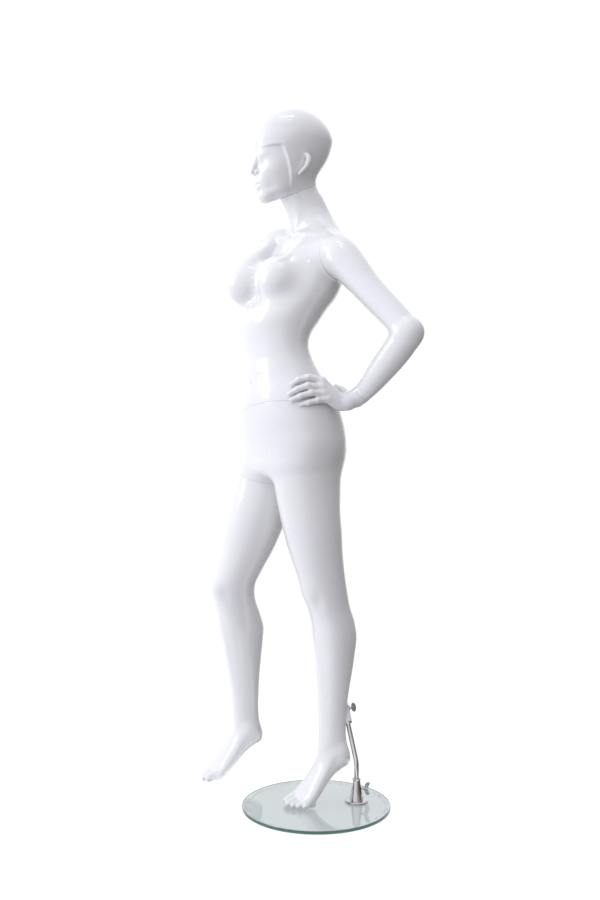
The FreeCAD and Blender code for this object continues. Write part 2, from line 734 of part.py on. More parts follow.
def head_shell(fittings):
    def skull(inset):
        rings = []
        for height, y, half_width, forward, backward in HEAD:
            sizes = (half_width - inset, forward - inset, backward - inset)
            rings.append(ring((HEAD_TILT_X, y, height), (0, 0, 1), (0, -1, 0), *sizes, 2.1))
        return loft(rings)

    neck = level_loft([section for section in TRUNK if section[0] >= 1570])
    nose_root, nose_tip = NOSE
    outer = skull(0.0).fuse([neck, capsule(nose_root, nose_tip, 7.0, 9.0)])
    inner = inside_of(skull(WALL), [flipped(NECK_SEAM)], BULKHEAD)
    skin = inside_of(outer, [flipped(NECK_SEAM)], SEAM_GAP / 2.0)
    below = beyond(flipped(NECK_SEAM), -BULKHEAD)
    skin = skin.cut(inner.cut(below))
    for fitting in fittings:
        skin = fitting.cut_pocket(skin)
    return skin


def pelvis_and_left_leg(fittings):
    seams = [WAIST_SEAM, THIGH_SEAM]
    hips = level_loft(PELVIS)
    leg = leg_loft(LEFT_LEG)
    stub = leg_loft([station for station in RIGHT_LEG if station[2] >= 760])
    foot = foot_loft(LEFT_HEEL, 1)
    outer = inside_of(hips.fuse([stub]), seams, SEAM_GAP / 2.0).fuse([leg, foot])
    inner_hips = level_loft(PELVIS, WALL)
    inner_stub = leg_loft([station for station in RIGHT_LEG if station[2] >= 760], WALL)
    inner = inside_of(inner_hips.fuse([inner_stub]), seams, BULKHEAD)
    inner = inner.fuse(leg_loft(LEFT_LEG, WALL, 190))
    skin = outer.cut(inner).fuse(calf_boss())
    hole_radius = ROD_RADIUS + FERRULE_WIDTH + FERRULE_CLEARANCE
    ferrule_hole = rod_between(rod_point(CALF_TUBE_START - 60.0), rod_point(CALF_TUBE_START), hole_radius)
    skin = skin.cut(ferrule_hole)
    clearance = ROD_RADIUS + ROD_CLEARANCE + CALF_TUBE_WALL + CALF_TUBE_CLEARANCE
    skin = skin.cut(rod_between(rod_point(10), rod_point(ROD_UPPER_LENGTH + 4.1), clearance))
    centre = rod_point(CALF_SCREW_ALONG)
    skin = skin.cut(rod_between(centre, centre + calf_screw_direction() * 60, 7.1))
    for fitting in fittings:
        skin = fitting.cut_pocket(skin)
    return skin


def right_leg_shell(fittings):
    leg = leg_loft(RIGHT_LEG)
    foot = foot_loft(RIGHT_HEEL, -1)
    outer = inside_of(leg.fuse([foot]), [flipped(THIGH_SEAM)], SEAM_GAP / 2.0)
    inner = inside_of(leg_loft(RIGHT_LEG, WALL, 190), [flipped(THIGH_SEAM)], BULKHEAD)
    skin = outer.cut(inner)
    for fitting in fittings:
        skin = fitting.cut_pocket(skin)
    return skin


def calf_boss():
    """Thickened wall on the back of the calf that holds the tube."""
    radius = ROD_RADIUS + ROD_CLEARANCE + CALF_TUBE_WALL + CALF_BOSS_WALL
    body = rod_between(rod_point(CALF_TUBE_START - FERRULE_LENGTH), rod_point(ROD_UPPER_LENGTH), radius)
    return body.fuse(Part.makeSphere(radius, rod_point(ROD_UPPER_LENGTH)))


def calf_ferrule():
    """Chrome ring let into the calf where the rod goes in."""
    start = rod_point(CALF_TUBE_START - FERRULE_LENGTH)
    body = rod_between(start, rod_point(CALF_TUBE_START), ROD_RADIUS + FERRULE_WIDTH)
    below = rod_point(CALF_TUBE_START - 20.0)
    above = rod_point(CALF_TUBE_START + 20.0)
    return body.cut(rod_between(below, above, ROD_RADIUS + FERRULE_BORE_CLEARANCE))


def export_fittings(pairs):
    for name, (socket, peg) in pairs.items():
        for half, fitting in (("socket", socket), ("peg", peg)):
            export(fitting.plate(), name + "_" + half)
            export(fitting.screws(), name + "_" + half + "_screws")


def main():
    os.makedirs("parts", exist_ok=True)

    export(glass_disc(), "glass_base_disc")
    export(grip_ring(), "anti_slip_ring")
    export(socket_cone(), "rod_socket")
    export(gasket(), "socket_gasket")
    export(bolt_washer(), "bolt_washer")
    export(socket_bolt(), "socket_bolt")
    export(calf_rod(), "calf_rod")
    side = stand_screw_direction()
    stand_axis = Vector(SOCKET_X, SOCKET_Y, GLASS_TOP + STAND_SCREW_HEIGHT)
    stand_tip = stand_axis + side * (ROD_RADIUS + SCREW_TIP_GAP)
    slanted = (Vector(0, 0, 1) * 0.9 + side.cross(Vector(0, 0, 1)) * 0.43).normalize()
    export(butterfly_screw(stand_tip, side, slanted), "socket_wing_screw")

    export(calf_tube(), "calf_tube")
    export(calf_nut(), "calf_tube_nut")
    export(calf_ferrule(), "calf_ferrule")
    side = calf_screw_direction()
    calf_tip = rod_point(CALF_SCREW_ALONG) + side * (ROD_RADIUS + SCREW_TIP_GAP)
    upright = (Vector(0, 0, 1) - side * side.z).normalize()
    export(oval_tab_screw(calf_tip, side, upright), "calf_wing_screw")

    pairs = {
        "waist": seam_pair(WAIST_SEAM, 45.0, 12.0, 55.0),
        "neck": seam_pair(NECK_SEAM, 30.0, 9.0, 40.0),
        "thigh": seam_pair(THIGH_SEAM, 38.0, 11.0, 32.0),
        "left_shoulder": seam_pair(LEFT_SHOULDER_SEAM, 27.0, 8.0, 30.0),
        "right_shoulder": seam_pair(RIGHT_SHOULDER_SEAM, 27.0, 8.0, 30.0),
        "left_wrist": seam_pair(LEFT_WRIST_SEAM, 15.0, 4.0, 22.0),
        "right_wrist": seam_pair(RIGHT_WRIST_SEAM, 15.0, 4.0, 22.0),
    }
    export_fittings(pairs)

    sockets = {name: pair[0] for name, pair in pairs.items()}
    pegs = {name: pair[1] for name, pair in pairs.items()}
    export(pelvis_and_left_leg([sockets["waist"], sockets["thigh"]]), "pelvis_and_left_leg")
    export(right_leg_shell([pegs["thigh"]]), "right_leg")
    trunk_fittings = [pegs["waist"], sockets["neck"], sockets["left_shoulder"], sockets["right_shoulder"]]
    export(trunk_shell(trunk_fittings), "torso")
    export(head_shell([pegs["neck"]]), "head")
    bent = (LEFT_UPPER_ARM, LEFT_ELBOW, LEFT_FOREARM)
    left_arm = arm_shell(bent_arm(*bent), bent_arm(*bent, WALL), LEFT_SHOULDER_SEAM, LEFT_WRIST_SEAM,
                         [pegs["left_shoulder"], sockets["left_wrist"]])
    export(left_arm, "left_arm")
    hanging = (path_loft(RIGHT_ARM), path_loft(RIGHT_ARM, WALL))
    right_arm = arm_shell(*hanging, RIGHT_SHOULDER_SEAM, RIGHT_WRIST_SEAM,
                          [pegs["right_shoulder"], sockets["right_wrist"]])
    export(right_arm, "right_arm")
    left_hand = hand(LEFT_PALM, LEFT_FINGERS, (1, 0, 0), LEFT_WRIST_SEAM)
    export(pegs["left_wrist"].cut_pocket(left_hand), "left_hand")
    right_hand = hand(RIGHT_PALM, RIGHT_FINGERS, (1, 0, 0), RIGHT_WRIST_SEAM)
    export(pegs["right_wrist"].cut_pocket(right_hand), "right_hand")


if __name__ == "__main__":
    main()
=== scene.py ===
"""Looks of the full body display mannequin: glossy shells, glass base, chrome stand, studio light.

Lengths in the tables are millimetres in the frame of the CAD model, and METRE turns them into metres.
Each shell is a smooth implicit body, meshed near its surface and cut flat at its seams.
"""
import math

import bmesh
import bpy
import numpy as np
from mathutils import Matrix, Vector


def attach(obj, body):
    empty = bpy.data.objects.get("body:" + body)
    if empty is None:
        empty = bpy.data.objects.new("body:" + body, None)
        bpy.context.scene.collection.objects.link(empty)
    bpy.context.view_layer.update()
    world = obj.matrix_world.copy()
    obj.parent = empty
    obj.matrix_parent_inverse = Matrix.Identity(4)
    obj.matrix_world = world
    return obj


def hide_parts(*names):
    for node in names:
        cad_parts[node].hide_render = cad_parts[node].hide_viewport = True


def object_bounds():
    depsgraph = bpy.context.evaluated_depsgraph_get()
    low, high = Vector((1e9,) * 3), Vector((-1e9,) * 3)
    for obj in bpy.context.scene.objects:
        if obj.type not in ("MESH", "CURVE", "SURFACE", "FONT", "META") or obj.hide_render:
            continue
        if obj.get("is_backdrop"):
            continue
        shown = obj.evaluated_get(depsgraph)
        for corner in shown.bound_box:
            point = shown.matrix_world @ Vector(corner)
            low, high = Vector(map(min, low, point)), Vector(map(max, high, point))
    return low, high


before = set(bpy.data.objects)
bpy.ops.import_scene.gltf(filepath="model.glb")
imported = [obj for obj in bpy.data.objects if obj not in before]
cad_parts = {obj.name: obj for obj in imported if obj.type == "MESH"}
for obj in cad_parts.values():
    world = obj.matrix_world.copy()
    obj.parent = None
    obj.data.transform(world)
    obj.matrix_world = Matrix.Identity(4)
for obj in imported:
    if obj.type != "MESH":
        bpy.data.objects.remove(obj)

CAD_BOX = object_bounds()
METRE = 0.001
# A value for "nowhere near", and the distance within which a shape is worked out exactly.
FAR = 1e9
NEAR = 45.0
COARSER = 1.0

# ---------------------------------------------------------------- body tables
# Trunk and hips: height, centre x, centre y, half width, front, back, squareness.
TRUNK = [
    (800, -104, -26, 60, 40, 46, 2.0),
    (836, -104, -26, 112, 74, 80, 2.1),
    (870, -102, -23, 150, 98, 104, 2.2),
    (901, -100, -16, 165, 108, 116, 2.3),
    (933, -100, -14, 171, 114, 120, 2.3),
    (964, -100, -15, 170, 119, 121, 2.2),
    (996, -100, -20, 167, 119, 119, 2.2),
    (1028, -100, -24, 162, 118, 114, 2.1),
    (1060, -100, -30, 153, 112, 107, 2.1),
    (1092, -100, -40, 139, 98, 96, 2.1),
    (1124, -100, -50, 126, 88, 84, 2.1),
    (1154, -100, -58, 117, 80, 77, 2.1),
    (1186, -99, -65, 113, 77, 74, 2.1),
    (1217, -98, -64, 117, 84, 80, 2.1),
    (1248, -97, -54, 124, 97, 90, 2.2),
    (1280, -96, -38, 131, 103, 96, 2.2),
    (1312, -95, -18, 137, 98, 102, 2.2),
    (1343, -94, -4, 141, 93, 102, 2.2),
    (1375, -93, 8, 144, 90, 99, 2.2),
    (1406, -92, 16, 146, 84, 92, 2.2),
    (1432, -92, 22, 140, 72, 82, 2.2),
    (1455, -92, 26, 126, 60, 68, 2.1),
    (1478, -91, 30, 104, 52, 60, 2.0),
    (1500, -90, 33, 76, 49, 56, 2.0),
    (1522, -90, 33, 58, 48, 55, 2.0),
    (1545, -91, 26, 50, 49, 51, 2.0),
    (1570, -91, 12, 49, 51, 52, 2.0),
    (1600, -91, -2, 49, 52, 54, 2.0),
    (1640, -91, -10, 49, 50, 52, 2.0),
    (1680, -91, -12, 46, 46, 48, 2.0),
]
# Legs, hip to ankle: height, centre x, centre y, half width, front, back, squareness.
LEFT_LEG = [
    (1000, -48, -22, 26, 28, 32, 2.0),
    (950, -38, -19, 52, 58, 64, 2.0),
    (905, -29, -16, 76, 83, 86, 2.0),
    (870, -25, -15, 81, 89, 92, 2.0),
    (820, -23, -12, 78, 87, 88, 2.0),
    (760, -22, -4, 77, 83, 78, 2.0),
    (700, -20, 6, 73, 79, 72, 2.0),
    (640, -19, 18, 66, 74, 64, 2.0),
    (590, -18, 30, 59, 69, 59, 2.0),
    (550, -18, 38, 55, 64, 59, 2.0),
    (510, -18, 46, 52, 55, 59, 2.1),
    (470, -18, 54, 54, 50, 65, 2.1),
    (430, -18, 58, 55, 49, 68, 2.1),
    (390, -18, 60, 51, 45, 63, 2.0),
    (340, -18, 61, 45, 43, 54, 2.0),
    (290, -16, 60, 39, 40, 44, 2.0),
    (240, -13, 58, 34, 38, 37, 2.0),
    (195, -10, 57, 31, 38, 34, 2.0),
    (160, -8, 58, 31, 43, 34, 2.0),
    (125, -7, 60, 29, 49, 32, 2.0),
    (95, -7, 62, 24, 48, 28, 2.0),
]
RIGHT_LEG = [
    (1000, -152, -18, 26, 28, 32, 2.0),
    (950, -162, -21, 52, 56, 62, 2.0),
    (905, -173, -27, 75, 80, 83, 2.0),
    (870, -181, -32, 83, 86, 89, 2.0),
    (820, -190, -42, 81, 87, 88, 2.0),
    (760, -199, -58, 78, 84, 84, 2.0),
    (700, -211, -74, 74, 79, 82, 2.0),
    (640, -224, -90, 67, 70, 75, 2.0),
    (590, -236, -104, 59, 64, 65, 2.0),
    (550, -246, -113, 54, 62, 59, 2.0),
    (510, -254, -110, 51, 55, 61, 2.1),
    (470, -262, -100, 53, 52, 69, 2.1),
    (430, -270, -90, 54, 52, 75, 2.1),
    (390, -278, -80, 51, 49, 68, 2.0),
    (340, -286, -70, 45, 46, 57, 2.0),
    (290, -293, -60, 39, 43, 46, 2.0),
    (240, -300, -51, 34, 41, 38, 2.0),
    (195, -305, -45, 31, 42, 34, 2.0),
    (160, -308, -41, 31, 40, 34, 2.0),
    (125, -310, -38, 29, 38, 31, 2.0),
    (95, -310, -36, 24, 36, 28, 2.0),
]
# A foot on its toes, heel to ball: distance forward of the heel, sideways, middle height, half width, up,
# down, squareness.
FOOT = [
    (-2, 0, 105, 10, 10, 10, 2.0),
    (8, 0, 109, 24, 24, 23, 2.1),
    (26, 0, 111, 30, 34, 33, 2.2),
    (50, 0, 104, 31, 39, 39, 2.3),
    (78, 1, 79, 33, 38, 37, 2.3),
    (104, 3, 48, 37, 33, 32, 2.2),
    (126, 4, 29, 41, 26, 26, 2.2),
    (140, 3, 19, 41, 19, 18.0, 2.3),
    (152, -1, 14, 36, 13, 13.5, 2.3),
]
# Toes: root and tip as (towards the big toe's side, forward, height), with their radii.
TOES = [
    ((25, 140, 15), (20, 170, 11.0), 12.5, 10.5),
    ((7, 143, 14), (4.5, 177, 8.2), 9.0, 7.6),
    ((-9, 140, 12), (-9.5, 170, 7.8), 8.6, 7.2),
    ((-22.5, 134, 11), (-22, 161, 7.4), 8.2, 6.8),
    ((-34, 126, 10), (-33, 149, 7.0), 7.8, 6.4),
]
SOLE = 11.6
LEFT_HEEL = (-6, 99)
RIGHT_HEEL = (-310, 2)

# Head in its own frame: height, sideways, backwards, half width, front, back, squareness.
SKULL = [
    (-136, 0, -58, 20, 26, 20, 2.1),
    (-124, 0, -50, 38, 40, 40, 2.1),
    (-104, 0, -34, 50, 62, 74, 2.1),
    (-80, 0, -26, 59, 76, 82, 2.15),
    (-52, 0, -16, 67, 86, 89, 2.2),
    (-20, 0, -7, 73, 96, 101, 2.15),
    (10, 0, -2, 77, 105, 109, 2.1),
    (40, 0, 0, 77, 107, 111, 2.05),
    (70, 0, 1, 72, 96, 104, 2.0),
]
CRANIUM = ((0, 6, 23), (77, 109, 91))
HEAD_ORIGIN = (-91, -20, 1700)
HEAD_TURN = math.radians(4.5)

# Arms, shoulder to wrist: x, y, z, radius.
LEFT_UPPER_ARM = [
    (8, 28, 1432, 36),
    (34, 32, 1424, 45),
    (61, 38, 1403, 48),
    (92, 49, 1371, 43.5),
    (130, 63, 1327, 38.5),
    (168, 79, 1285, 36.5),
    (208, 96, 1243, 35),
    (240, 109, 1206, 34.5),
]
LEFT_FOREARM = [
    (248, 113, 1201, 33),
    (226, 108, 1178, 37.5),
    (197, 101, 1149, 37),
    (167, 92, 1119, 34),
    (135, 82, 1086, 28.5),
    (109, 73, 1062, 24.5),
    (89, 66, 1044, 20),
]
RIGHT_ARM = [
    (-186, 6, 1486, 34),
    (-220, 0, 1474, 47),
    (-243, 1, 1455, 50),
    (-255, 12, 1424, 44),
    (-264, 15, 1380, 39),
    (-271, 18, 1330, 36.5),
    (-278, 21, 1275, 35.5),
    (-285, 23, 1220, 34.5),
    (-290, 22, 1182, 34),
    (-295, 17, 1145, 35.5),
    (-300, 9, 1105, 34),
    (-304, 1, 1060, 29),
    (-308, -6, 1015, 24),
    (-311, -11, 975, 21),
]

# Hands. Each finger: knuckle, middle joint, last joint and tip, then the radius at knuckle and tip.
LEFT_FINGERS = {
    "index": ((66, -22, 1090), (57, -57, 1098), (46, -78, 1092), (36, -92, 1081), 8.8, 6.2),
    "middle": ((69, -25, 1074), (62, -61, 1077), (50, -84, 1068), (38, -100, 1056), 9.0, 6.4),
    "ring": ((72, -21, 1058), (67, -55, 1059), (56, -79, 1051), (43, -96, 1042), 8.8, 6.2),
    "little": ((75, -11, 1043), (73, -39, 1041), (65, -60, 1035), (54, -75, 1031), 8.2, 5.8),
    "thumb": ((86, 42, 1046), (70, 48, 1059), (55, 42, 1070), (42, 33, 1077), 10.5, 7.0),
}
LEFT_WRIST_CENTRE = (100, 66, 1056)
RIGHT_FINGERS = {
    "index": ((-316, -48, 889), (-313, -52, 846), (-309, -52, 820), (-304, -50, 799), 8.6, 6.2),
    "middle": ((-318, -31, 887), (-315, -32, 838), (-310, -31, 809), (-304, -28, 786), 8.8, 6.4),
    "ring": ((-318, -13, 888), (-315, -14, 843), (-310, -13, 815), (-304, -9, 794), 8.6, 6.2),
    "little": ((-317, 4, 892), (-314, 7.5, 856), (-310, 10, 834), (-305, 13, 817), 8.0, 5.8),
    "thumb": ((-309, -30, 958), (-302, -44, 932), (-298, -52, 908), (-296, -56, 888), 11.0, 7.4),
}
RIGHT_WRIST_CENTRE = (-310, -8, 995)

# Seams: a point on the plane, the direction to the piece that comes off, and the reach of the cut.
WAIST_SEAM = ((-100, -20, 1005), (-0.155, 0.19, 1.0), 2600)
NECK_SEAM = ((-91, 2, 1597), (0.0, -0.42, 1.0), 600)
THIGH_SEAM = ((-184, -36, 850), (-0.28, 0.0, -0.96), 170)
LEFT_SHOULDER_SEAM = ((38, 34, 1424), (0.97, 0.16, 0.18), 160)
RIGHT_SHOULDER_SEAM = ((-220, 9, 1452), (-0.97, 0.02, 0.18), 160)
# The right arm hangs along its own seam plane, so its cut ends in the armpit.
RIGHT_ARM_CUT = RIGHT_SHOULDER_SEAM[:2] + (98,)
LEFT_WRIST_SEAM = ((104, 70, 1061), (-0.70, -0.24, -0.70), 80)
RIGHT_WRIST_SEAM = ((-310, -8, 1000), (-0.05, -0.15, -0.99), 80)
CROTCH_X = -104.5
SEAM_GAP = 0.3
RIM_CHAMFER = 0.5
CUT_MARGIN = 1.15
# In metres: how far off the plane of a cut its rim may lie.
ON_PLANE = 2e-6
# Where a piece takes its neighbour's form next to a seam: start and end along the piece, radius across it.
SHOULDER_BLEND = (6, 56, 66)
WRIST_BLEND = (2, 26, 40)
# The hollow of the right armpit: start and end below the seam's centre, clearance, and how fast it fades.
ARMPIT_START = 62
ARMPIT_END = 120
ARMPIT_CLEARANCE = 2.0
ARMPIT_FADE = 0.4
# Fittings behind the seams: plate radius, peg radius, depth.
WAIST_FITTING = (45, 12, 55)
NECK_FITTING = (30, 9, 40)
THIGH_FITTING = (38, 11, 32)
SHOULDER_FITTING = (27, 8, 30)
WRIST_FITTING = (15, 4, 22)
PLATE_THICKNESS = 3.0
PLATE_CLEARANCE = 0.1
SOCKET_TUBE_ROOM = 3.1
SOCKET_END_ROOM = 2.2
POCKET_SIDES = 48


# ---------------------------------------------------------------- implicit shapes
def smooth_min(a, b, width):
    """The union of two fields with a fillet about as wide as width."""
    overlap = np.maximum(width - np.abs(a - b), 0.0) / width
    return np.minimum(a, b) - overlap * overlap * width * 0.25


def smooth_max(a, b, width):
    return -smooth_min(-a, -b, width)


def eased(share):
    """A share between 0 and 1 with a smooth start and end."""
    return share * share * (3 - 2 * share)


def refined(table, step=2.0):
    """A table keyed by its first column, drawn through its rows as a smooth curve."""
    table = np.array(sorted(table), float)
    key = table[:, 0]
    slope = np.gradient(table, key, axis=0)
    fine = np.arange(key[0], key[-1], step)
    k = np.clip(np.searchsorted(key, fine, "right") - 1, 0, len(key) - 2)
    span = (key[k + 1] - key[k])[:, None]
    t = (fine - key[k])[:, None] / span
    a = (2 * t - 3) * t * t + 1
    b = ((t - 2) * t + 1) * t * span
    c = (3 - 2 * t) * t * t
    d = (t - 1) * t * t * span
    return a * table[k] + b * slope[k] + c * table[k + 1] + d * slope[k + 1]


def level_tube(table):
    """Stacked sections across the third axis; front lies towards minus y."""
    rows = refined(table)

    def field(p):
        x, y, half, front, back, power = (np.interp(p[:, 2], rows[:, 0], rows[:, c]) for c in range(1, 7))
        across = p[:, 0] - x
        along = p[:, 1] - y
        deep = np.where(along < 0, front, back)
        radius = (np.abs(across / half) ** power + np.abs(along / deep) ** power) ** (1.0 / power) + 1e-6
        reach = np.hypot(across, along)
        return reach - reach / radius

    return field


def smooth_path(stations, steps=5):
    """Catmull-Rom points through the stations, radius included."""
    knots = np.array([stations[0]] + list(stations) + [stations[-1]], float)
    rows = []
    for k in range(1, len(knots) - 2):
        before, start, end, after = knots[k - 1:k + 3]
        for t in np.linspace(0, 1, steps, endpoint=False):
            bend = (2 * before - 5 * start + 4 * end - after) * t * t
            twist = (3 * start - before - 3 * end + after) * t ** 3
            rows.append(0.5 * (2 * start + (end - before) * t + bend + twist))
    return np.array(rows + [knots[-1]])


def tube(stations, steps=5):
    """Round tube through stations of x, y, z and radius."""
    rows = smooth_path(stations, steps) if len(stations) > 2 else np.array(stations, float)
    low = (rows[:, :3] - rows[:, 3:]).min(axis=0)
    high = (rows[:, :3] + rows[:, 3:]).max(axis=0)

    def exact(p):
        best = np.full(len(p), FAR)
        for start, end in zip(rows[:-1], rows[1:]):
            axis = end[:3] - start[:3]
            offset = p - start[:3]
            t = np.clip(offset @ axis / (axis @ axis), 0, 1)
            gap = offset - t[:, None] * axis
            distance = np.sqrt(np.einsum("ij,ij->i", gap, gap)) - (start[3] + t * (end[3] - start[3]))
            np.minimum(best, distance, out=best)
        return best

    return only_near(exact, low, high)


def only_near(exact, low, high):
    """A field worked out near its box; further off, the distance to the box stands for it."""
    def field(p):
        gap = np.maximum(np.maximum(low - p, p - high), 0.0)
        distance = np.sqrt(np.einsum("ij,ij->i", gap, gap))
        near = distance < NEAR
        distance[near] = exact(p[near])
        return distance

    return field


def ellipsoid(centre, sizes):
    centre = np.array(centre, float)
    sizes = np.array(sizes, float)

    def field(p):
        q = (p - centre) / sizes
        radius = np.sqrt(np.einsum("ij,ij->i", q, q)) + 1e-9
        slope = np.sqrt(np.einsum("ij,ij->i", q / sizes, q / sizes)) + 1e-9
        return radius * (radius - 1.0) / slope

    return field


def bump(p, centre, sizes):
    """A smooth hill that is 1 at the centre and fades to 0 over the sizes."""
    q = (p - np.array(centre, float)) / np.array(sizes, float)
    return np.exp(-np.einsum("ij,ij->i", q, q))


# ---------------------------------------------------------------- anatomy
core = level_tube(TRUNK)
NECK_CORD_LEFT = tube([(-48, 2, 1652, 8), (-62, -30, 1600, 8), (-71, -9, 1545, 7.5), (-82, -8, 1500, 6.5)])
NECK_CORD_RIGHT = tube([(-134, 2, 1652, 8), (-120, -30, 1600, 8), (-111, -9, 1545, 7.5),
                        (-100, -8, 1500, 6.5)])
LEFT_TRAPEZIUS = tube([(-74, 34, 1556, 28), (-52, 46, 1512, 30), (-16, 50, 1476, 27), (20, 46, 1444, 24)])
RIGHT_TRAPEZIUS = tube([(-108, 34, 1556, 28), (-130, 44, 1518, 30), (-168, 36, 1486, 27),
                        (-196, 22, 1478, 24)])
UPPER_BACK = ellipsoid((-95, 38, 1430), (88, 52, 64))
LEFT_CLAVICLE = tube([(-76, -18, 1476, 7), (-40, -20, 1474, 7), (-6, 0, 1468, 8), (22, 20, 1462, 9)])
RIGHT_CLAVICLE = tube([(-106, -16, 1476, 6), (-142, -20, 1480, 6), (-176, -10, 1486, 7), (-204, 4, 1490, 8)])


def trunk_field(p):
    """Hips, waist, back and belly, without breasts, arms and legs."""
    d = core(p)
    d = smooth_min(d, ellipsoid((-36, 36, 900), (62, 60, 62))(p), 26)
    d = smooth_min(d, ellipsoid((-164, 30, 896), (60, 60, 62))(p), 26)
    cleft = bump(p, (-100, 104, 892), (13, 44, 72))
    spine = bump(p, (-99, 55, 1180), (14, 60, 150))
    navel = bump(p, (-100, -139, 1088), (5.5, 14, 7.5))
    belly_sides = bump(p, (-55, -132, 1110), (16, 40, 70)) + bump(p, (-145, -132, 1110), (16, 40, 70))
    return d + 16 * cleft + 4.5 * spine + 5.0 * navel + 1.6 * belly_sides


def neck_field(p):
    d = smooth_max(core(p), p[:, 2] - 1650.0, 10)
    d = smooth_min(d, NECK_CORD_LEFT(p), 16)
    return smooth_min(d, NECK_CORD_RIGHT(p), 16)


LEFT_CHEST_SLOPE = tube([(-22, 0, 1440, 22), (-30, -38, 1402, 30), (-35, -66, 1368, 38)])
RIGHT_CHEST_SLOPE = tube([(-184, -18, 1464, 24), (-177, -60, 1430, 29), (-168, -94, 1398, 37)])


def breast(p, centre, slope):
    """A breast and the slope of the chest above it."""
    return smooth_min(ellipsoid(centre, (54, 56, 56))(p), slope(p), 30)


BETWEEN_BREASTS = ellipsoid((-98, -72, 1356), (40, 40, 62))
left_stub = tube(LEFT_UPPER_ARM[:5])
right_stub = tube(RIGHT_ARM[:5])


def torso_field(p):
    d = trunk_field(p)
    d = smooth_min(d, breast(p, (-35, -87, 1346), LEFT_CHEST_SLOPE), 34)
    d = smooth_min(d, breast(p, (-160, -115, 1352), RIGHT_CHEST_SLOPE), 30)
    d = smooth_min(d, BETWEEN_BREASTS(p), 30)
    for cord in (NECK_CORD_LEFT, NECK_CORD_RIGHT):
        d = smooth_min(d, cord(p), 16)
    d = smooth_min(d, UPPER_BACK(p), 34)
    d = smooth_min(d, LEFT_TRAPEZIUS(p), 36)
    d = smooth_min(d, RIGHT_TRAPEZIUS(p), 36)
    d = smooth_min(d, left_stub(p), 26)
    d = smooth_min(d, right_stub(p), 26)
    d = smooth_min(d, LEFT_CLAVICLE(p), 14)
    d = smooth_min(d, RIGHT_CLAVICLE(p), 14)
    notch = bump(p, (-91, -22, 1482), (13, 22, 14))
    above_left = bump(p, (-46, -12, 1494), (26, 20, 9))
    above_right = bump(p, (-138, -14, 1500), (26, 20, 9))
    blades = bump(p, (-45, 108, 1370), (34, 30, 48)) + bump(p, (-142, 108, 1376), (34, 30, 48))
    return d + 5 * notch + 3 * above_left + 1.5 * above_right - 6 * blades


def from_seam(p, seam):
    """Offsets from a seam's centre, and distances from its plane towards the piece that comes off."""
    offset = p - np.array(seam[0], float)
    normal = np.array(seam[1], float)
    return offset, offset @ normal / np.sqrt(normal @ normal)


def handover(p, seam, near_field, own, blend):
    """The neighbour's field close to a seam, which turns into a piece's own further along or further out."""
    start, end, radius = blend
    offset, along = from_seam(p, seam)
    out = np.sqrt(np.maximum(np.einsum("ij,ij->i", offset, offset) - along * along, 0.0))
    share = eased(1.0 - np.clip((np.abs(along) - start) / (end - start), 0, 1))
    share = share * (1.0 - np.clip((out - radius) / (0.35 * radius), 0, 1))
    near = share > 0
    mixed = own.copy()
    mixed[near] = share[near] * near_field(p[near]) + (1.0 - share[near]) * own[near]
    return mixed


left_upper = tube(LEFT_UPPER_ARM)
left_lower = tube(LEFT_FOREARM)
right_whole = tube(RIGHT_ARM)
LEFT_ELBOW = ellipsoid((252, 117, 1196), (19, 19, 22))
RIGHT_ELBOW = ellipsoid((-291, 42, 1190), (16, 15, 22))


def left_bent_arm(p):
    d = smooth_min(left_upper(p), left_lower(p), 14)
    return smooth_min(d, LEFT_ELBOW(p), 26)


def right_hanging_arm(p):
    """Below the armpit the arm is hollowed, so that it stays on its own side of the shoulder seam."""
    offset, outward = from_seam(p, RIGHT_SHOULDER_SEAM)
    above_armpit = np.maximum(offset[:, 2] + ARMPIT_START, 0.0)
    below_cut = np.maximum(-offset[:, 2] - ARMPIT_END, 0.0)
    hollow = -outward + ARMPIT_CLEARANCE - above_armpit - ARMPIT_FADE * below_cut
    return smooth_max(smooth_min(right_whole(p), RIGHT_ELBOW(p), 16), hollow, 6)


def left_arm_field(p):
    arm = handover(p, LEFT_SHOULDER_SEAM, torso_field, left_bent_arm(p), SHOULDER_BLEND)
    return handover(p, LEFT_WRIST_SEAM, left_hand_field, arm, WRIST_BLEND)


def right_arm_field(p):
    arm = handover(p, RIGHT_SHOULDER_SEAM, torso_field, right_hanging_arm(p), SHOULDER_BLEND)
    return handover(p, RIGHT_WRIST_SEAM, right_hand_field, arm, WRIST_BLEND)


